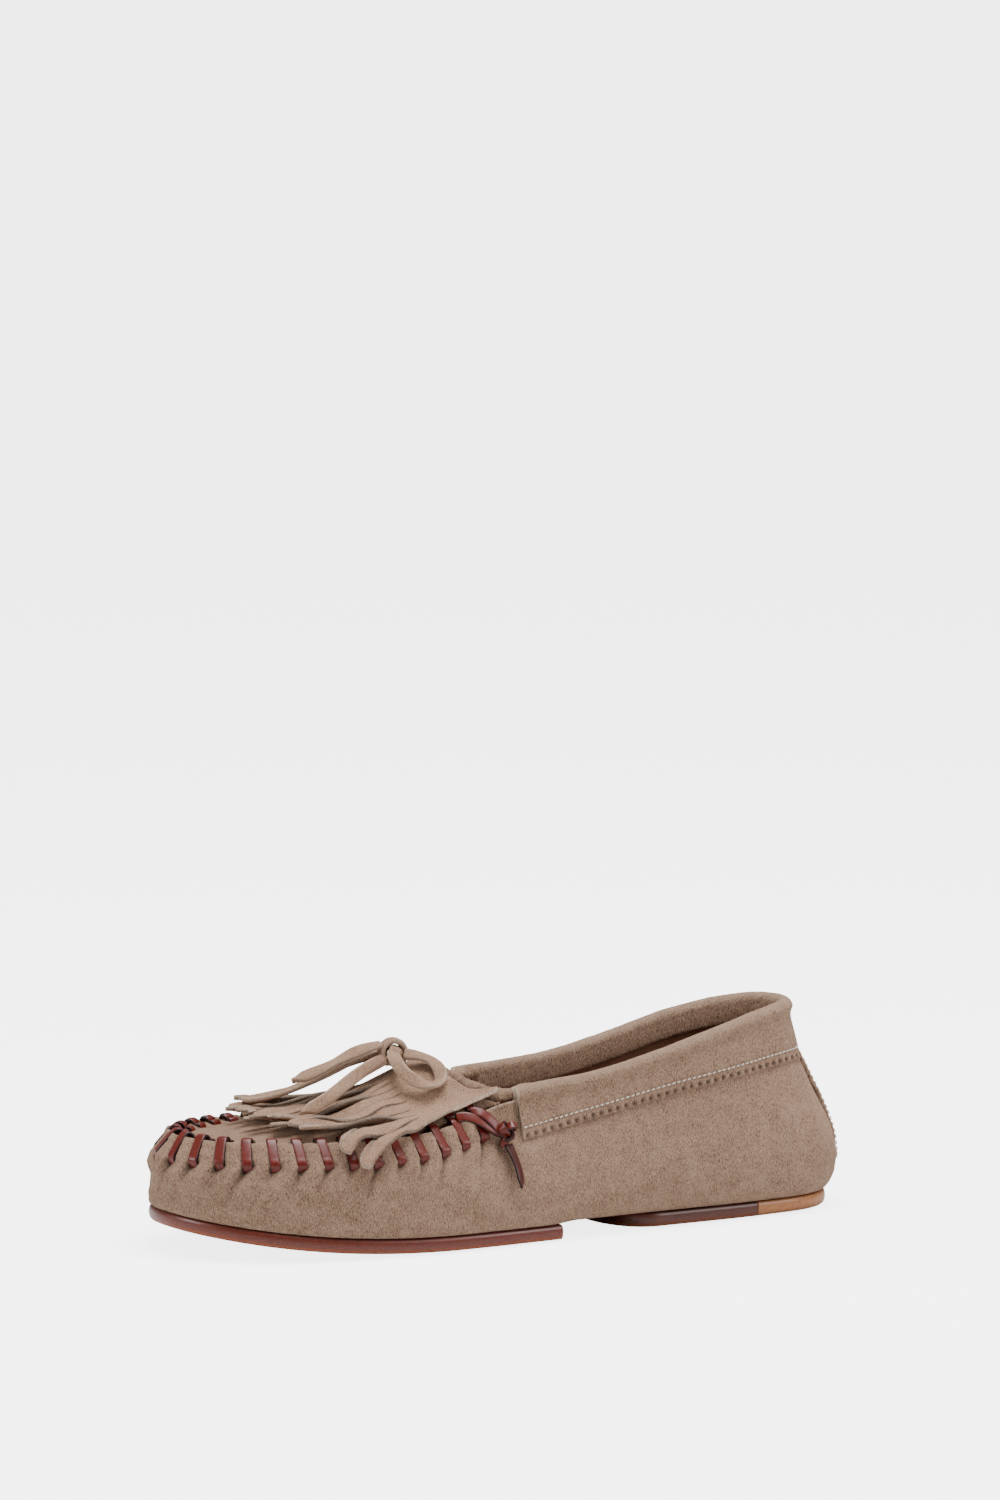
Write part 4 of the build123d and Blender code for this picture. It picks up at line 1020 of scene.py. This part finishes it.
for side in (1, -1):
    row = wall(t_row, side, share_up(t_row, side, collar_low(t_row) + THREAD_ABOVE), -1.35)
    row_run = np.r_[0, np.cumsum(np.linalg.norm(np.diff(row, axis=0), axis=1))]
    for k in range(int((row_run[-1] - 2) / THREAD_PITCH)):
        at = THREAD_FIRST + THREAD_PITCH * k
        mid = np.array([np.interp(at, row_run, row[:, i]) for i in range(3)])
        nxt = np.array([np.interp(at + 0.6, row_run, row[:, i]) for i in range(3)])
        along = unit(nxt - mid + (0, 0, 0.10))
        place = np.interp(at, row_run, t_row)
        n = np.array([float(v) for v in outward(place, side)] + [0.25])
        dashes.append(dash_grid(mid, along, unit(n), 1.3, 0.5))
surface("collar_thread", dashes, thread, hidden=("collar_stitching",))
dashes = []
for x in (-4.6, 4.6):
    side = 1 if x > 0 else -1
    place = float(np.interp(-abs(x), heel_x, heel_places))
    for z in np.arange(SOLE + 8, 50, THREAD_PITCH):
        mid = wall(place, side, share_up(place, side, z), -2.1)
        nxt = wall(place, side, share_up(place, side, z + 1), -2.1)
        n = np.array([float(v) for v in outward(place, side)] + [0.1])
        dashes.append(dash_grid(mid, unit(nxt - mid), unit(n), 1.5, 0.6))
surface("back_stay_thread", dashes, thread, hidden=("back_stay_stitching",))


# ---------------------------------------------------------------- outsoles
# Three flat leather pieces lie under the wrap: a long forefoot sole, a heel piece whose front is
# rounded, and a tan top piece at the back. Their edges are rounded over and burnished.
SOLE_RUBBED, SOLE_DULLED, SOLE_SHADED = 0.45, 0.1, -0.5
sole_leather = leather("sole_leather", colour(74, 26, 14), colour(104, 42, 24), colour(170, 84, 30),
                       rough=0.36, sheen=0.0, bump=0.22, relief=0.0002, coat=0.2, spec=0.4)
heel_leather = leather("heel_leather", colour(62, 26, 15), colour(88, 42, 27), colour(150, 80, 36),
                       rough=0.4, sheen=0.0, bump=0.22, relief=0.0002, coat=0.15, spec=0.4)
tan_leather = leather("tan_leather", colour(138, 82, 40), colour(168, 110, 62), colour(104, 60, 30),
                      rough=0.45, sheen=0.0, bump=0.25, relief=0.0002, coat=0.15, spec=0.5)


def sole_points(t, side, margin, height):
    """Ring of sole edge points at places t, offset from the outline, height 0 ground to 1 top."""
    x, y = outline(t, side)
    ox, oy = outward(t, side)
    x, y = x + ox * margin, y + oy * margin
    z = bottom(y) - SOLE + (SOLE - 0.15) * height
    return np.stack([x, y, z], -1)


EDGE = ((0.0, -9), (0.0, -2.2), (0.04, -1.0), (0.13, -0.42), (0.3, -0.12), (0.5, 0.0), (0.7, -0.08),
        (0.85, -0.3), (0.95, -0.75), (1.0, -1.6), (1.0, -4), (1.0, -9))


def sole_piece(name, t_from, t_to, margin, material, node, front=None):
    """Sole between two places of the outline. Its profile runs from the underside round the edge
    to the top, and the middle of each face closes it. The ends are closed with flat walls."""
    t = t_from + (t_to - t_from) * np.linspace(0, 1, 260) ** (1.8 if front else 1)
    sides, edge_wear_and_shade = [], np.zeros((len(EDGE), len(t)))
    # The rows near the underside take the burnished edge colour; the top rows, under the wrap, are
    # darkened with painted shade.
    edge_wear_and_shade[2:4], edge_wear_and_shade[4], edge_wear_and_shade[8:] = SOLE_RUBBED, SOLE_DULLED, SOLE_SHADED
    for side in (1, -1):
        rows = np.stack([sole_points(t, side, margin + inset, h) for h, inset in EDGE])
        for k, beside_k in ((0, 1), (-1, -2)):
            rows[k] = rows[beside_k]
            rows[k, :, 0] = middle_line(share(t))
        sides.append(rows)
    ring = np.concatenate([sides[0], sides[1][::-1][1:-1]])
    wear_and_shade = np.concatenate([edge_wear_and_shade, edge_wear_and_shade[::-1][1:-1]])
    if front is not None:
        start_y, depth_y, power = front
        d = np.clip((ring[..., 1] - start_y) / depth_y, 0, 1)
        mid_x = sides[0][:1, :, 0]
        ring[..., 0] = mid_x + (ring[..., 0] - mid_x) * (1 - (1 - d) ** power) ** (1 / power)
    caps = [ring[:, :1].copy(), ring[:, -1:].copy()]
    for cap in caps:
        cap[..., 0] = cap[0, 0, 0]
    ring = np.concatenate([caps[0], ring, caps[1]], axis=1)
    wear_and_shade = np.concatenate([wear_and_shade[:, :1], wear_and_shade, wear_and_shade[:, -1:]], axis=1)
    return surface(name, [(ring, True, False)], material, wear_and_shade=[wear_and_shade], hidden=(node,))


FOREFOOT_END, HEEL_FRONT, HEEL_JOINT, JOINT_GAP = 5.0, 31.2, 88.0, 0.3
sole_piece("forefoot_sole", 0.0, float(beside(FOREFOOT_END)), 2.3, sole_leather, "forefoot_outsole")
sole_piece("heel_sole", float(beside(HEEL_FRONT)), float(beside(HEEL_JOINT - JOINT_GAP / 2)), -1.5,
           heel_leather, "heel_outsole", front=(31.0, 17.0, 2.2))
sole_piece("heel_tip", float(beside(HEEL_JOINT + JOINT_GAP / 2)), 1.0, -1.5, tan_leather,
           "heel_top_piece")


# ---------------------------------------------------------------- kiltie
# The fringed flap lies over the instep and the lacing. Its rear edge is hollowed round the foot
# opening, its front is slit into strips that fan, wave and lie over each other.
STRIPS, SLIT_FROM, COLUMNS_PER, MID = 18, -45.0, 9, 0.75
LEFT, RIGHT, CENTRE, HALF = -33.0, 37.0, 2.0, 35.0
OUTER_SPREAD, OUTER_LENGTH = (9.5, 10.5), (33.0, 27.0)
grid_y = np.arange(-135.0, -4.0, 1.0)
grid_u = np.linspace(-58, 62, 241)
height_map = np.empty((len(grid_y), len(grid_u)))
for row, y in enumerate(grid_y):
    xr, xl = float(edge_at(y, 1, 0)), float(edge_at(y, -1, 0))
    zr, zl = float(edge_at(y, 1, 2)), float(edge_at(y, -1, 2))
    ridge = min(zl, zr) + 4.4
    xs = np.linspace(xl + 7, xr - 7, 9)
    zs = np.maximum(crown(xs, y) + 1.3, ridge - 0.2)
    places = np.r_[xl - 12, xl - 6, xl - 1, xs, xr + 1, xr + 6, xr + 12]
    heights = np.r_[zl - 9.0, zl + 0.2, zl + 4.1, zs, zr + 4.1, zr + 0.2, zr - 9.0]
    height_map[row] = np.interp(grid_u, places, heights)
kernel = np.exp(-(np.arange(-5, 6) / 2.2) ** 2)
kernel /= kernel.sum()
for axis in (0, 1):
    height_map = np.apply_along_axis(
        lambda v: np.convolve(np.pad(v, 5, "edge"), kernel, "valid"), axis, height_map)


def over_lacing(x, y):
    """Height of the surface that the kiltie's underside lies on, read from its map bilinearly."""
    a = np.clip((y - grid_y[0]), 0, len(grid_y) - 1.001)
    b = np.clip((x - grid_u[0]) / (grid_u[1] - grid_u[0]), 0, len(grid_u) - 1.001)
    i, j = a.astype(int), b.astype(int)
    fa, fb = a - i, b - j
    return ((1 - fa) * (1 - fb) * height_map[i, j] + fa * (1 - fb) * height_map[i + 1, j]
            + (1 - fa) * fb * height_map[i, j + 1] + fa * fb * height_map[i + 1, j + 1])


pitch_k = (RIGHT - LEFT) / STRIPS
x_line = np.linspace(LEFT, RIGHT, STRIPS * COLUMNS_PER + 1)
rear_x = np.array([-33.0, -28.5, -27, -26, -12, 1, 14, 30, 31, 32.5, 37])
rear_y = np.array([-46.0, -31.0, -22, -14, -28, -33, -28, -14, -22, -31, -46])
rear_run = np.r_[0, np.cumsum(np.hypot(np.diff(rear_x), np.diff(rear_y)))]
pick = np.interp(x_line, (-33, -26, 30, 37), (0, rear_run[3], rear_run[7], rear_run[-1]))
px, py = np.interp(pick, rear_run, rear_x), np.interp(pick, rear_run, rear_y)
inside = np.abs(px - THROAT[0]) < THROAT_RADIUS + 0.4
limit = THROAT[1] - np.sqrt(np.maximum((THROAT_RADIUS + 0.6) ** 2 - (px - THROAT[0]) ** 2, 0.01))
py = np.where(inside, np.minimum(py, limit), py)
bb, kk = np.meshgrid(np.linspace(0, 1, 60), np.arange(len(x_line)), indexing="ij")
bx = px[kk] + (x_line[kk] - px[kk]) * bb
slit_line = SLIT_FROM - ((x_line - CENTRE) / HALF) ** 2
by = py[kk] + (slit_line[kk] - py[kk]) * bb
body_z = over_lacing(bx, by) + MID + 0.3 * ripple(bx, by, 91, 15) * (1 - 0.4 * bb)
rear_lift = np.exp(-(np.hypot(bx - px[kk], by - py[kk]) / 2.5) ** 2) * 0.5
body_grid = np.stack([bx, by, body_z + rear_lift], -1)
grids, painted_shading = [(body_grid, False, False)], [np.zeros(body_grid.shape[:2])]
rng = np.random.default_rng(5)
for k in range(STRIPS):
    cols = np.arange(k * COLUMNS_PER, (k + 1) * COLUMNS_PER + 1)
    x_mid = LEFT + pitch_k * (k + 0.5)
    across_share = (x_mid - CENTRE) / HALF
    fan = 1.0 + 0.28 * (1 - abs(across_share)) ** 0.5
    uneven = (3.0, -2.5, 1.0, -4.0, 2.0)[k % 5] - (6 if k < 2 else 0)
    length_k = 51 - 19 * across_share ** 2 + uneven
    tip_x = x_mid * fan - CENTRE * (fan - 1)
    if k >= STRIPS - 2:
        tip_x = x_mid + OUTER_SPREAD[k - STRIPS]
        length_k = OUTER_LENGTH[k - STRIPS]
    s = np.linspace(0, 1, 58)[:, None]
    free = ease(0.0, 0.35, s)
    w = (x_line[cols] - x_mid)[None, :]
    phase_k, tempo = rng.uniform(0, 2 * np.pi), rng.uniform(0.8, 1.5)
    sway = 0.9 * free * np.sin(2 * np.pi * tempo * s + phase_k)
    turning = np.sin(2 * np.pi * tempo * s * 0.8 + 2 * phase_k)
    tilt = free * ((0.30 if k % 2 else -0.22) + 0.34 * turning)
    swell_k = 1 + 0.05 * free
    cx = x_mid + (tip_x - x_mid) * s + sway
    snub = 1 - 0.10 * np.abs(w / (pitch_k / 2)) ** 3 * s
    x = cx + w * swell_k * np.cos(tilt)
    y = slit_line[cols][None, :] - (length_k + 0.9) * s * snub
    layer_up = (0.7 if k % 2 else -0.3) * free
    wave = 0.55 * free * np.sin(2 * np.pi * (1.1 + 0.5 * rng.random()) * s + 3 * phase_k)
    curl = rng.uniform(0.2, 2.2) * ease(0.75, 1.0, s) * (1 if rng.random() > 0.25 else -0.2)
    rolled = w * np.sin(tilt)
    lying = over_lacing(x, y) + MID + 0.18 * ripple(x, y, 91, 15)
    z = lying + ease(0.0, 0.10, s) * (
        layer_up + wave + rolled + 0.3 * np.abs(rolled) + curl + 0.1 * free)
    gap_in = 1 - 0.07 * ease(0, 0.05, s)
    x = cx + (x - cx) * gap_in
    grids.append((np.stack([x, y, z], -1), False, False))
    # Painted shade darkens each strip's long sides, where the strips meet and lie over each other,
    # short of the tip.
    painted_shading.append(-0.55 * np.abs(w / (pitch_k / 2)) ** 6 * (1 - ease(0.85, 1, s)))


def cut_sheet(name, grids, painted_shading, thick, face, rim, body, nodes):
    """Sheet of leather from its middle surface, thickened both ways, with a raw rim finish."""
    piece = surface(name, grids, face, body, painted_shading, nodes)
    piece.data.materials.append(rim)
    solid = piece.modifiers.new("thickness", "SOLIDIFY")
    solid.thickness, solid.offset = thick / 1000, 0.0
    solid.material_offset_rim = 1
    return piece


raw_edge = leather("raw_edge", colour(128, 106, 90), colour(182, 160, 142), colour(200, 184, 168),
                   bump=0.8, relief=0.0006)
kiltie = cut_sheet("kiltie_suede", grids, painted_shading, TRIM, thong_suede, raw_edge, "kiltie_and_bow",
                   ("kiltie",))


# ---------------------------------------------------------------- bow knot
# The knot is the thong wound once over itself: a core strand under a broad band, with a
# rounded lump of gathered suede between them.
low_k, high_k = (np.array(v) * 1000 - MOVE * 1000 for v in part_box("bow_knot"))
knot_at = (low_k + high_k) / 2
turns = np.radians(np.linspace(-150, 150, 70))
over = knot_at + np.stack([
    0.6 * np.sin(turns), 4.1 * np.sin(turns), 4.2 * np.cos(turns) - 0.4,
], -1)
knot_grids, knot_edges_and_shade = [], []
grid, rim = strap(over, 5.6, 2.2, unit(over - knot_at), power=3.0,
                  width_at=1 - 0.12 * np.cos(turns))
knot_grids.append((grid, False, True))
knot_edges_and_shade.append(rim * 0.3)
turns = np.radians(np.linspace(-170, 170, 70))
core_line = knot_at + np.stack([
    3.6 * np.sin(turns), 1.2 * np.cos(turns) - 0.8, 2.4 * np.cos(turns) - 1.2,
], -1)
grid, rim = strap(core_line, 5.0, 2.2, unit(core_line - knot_at + (0, 0.001, 0)), power=3.0)
knot_grids.append((grid, False, True))
knot_edges_and_shade.append(rim * 0.3)
tip, spin = np.meshgrid(np.linspace(0, np.pi, 24), np.linspace(0, 2 * np.pi, 37)[:-1],
                        indexing="ij")
lump = knot_at + np.stack([
    3.7 * np.sin(tip) * np.cos(spin), 3.2 * np.sin(tip) * np.sin(spin), 3.0 * np.cos(tip) - 0.6,
], -1)
knot_grids.append((lump, False, True))
# The lump between the bands is darkened with painted shade.
knot_edges_and_shade.append(-0.5)
surface("bow_knot_suede", knot_grids, thong_suede, "kiltie_and_bow", knot_edges_and_shade, ("bow_knot",))


# ---------------------------------------------------------------- stiffeners
# The insole board lies under the foam. The heel counter stands against the lining's inner face
# and is covered with the same leather. Both keep their modelled shapes.
board_stuff = leather("board", colour(132, 104, 74), colour(160, 130, 98), colour(180, 150, 118),
                      bump=0.4)
for node, material in (("insole_board", board_stuff), ("heel_counter", lining_leather)):
    piece = bpy.data.objects[node]
    piece.data.materials.clear()
    piece.data.materials.append(material)
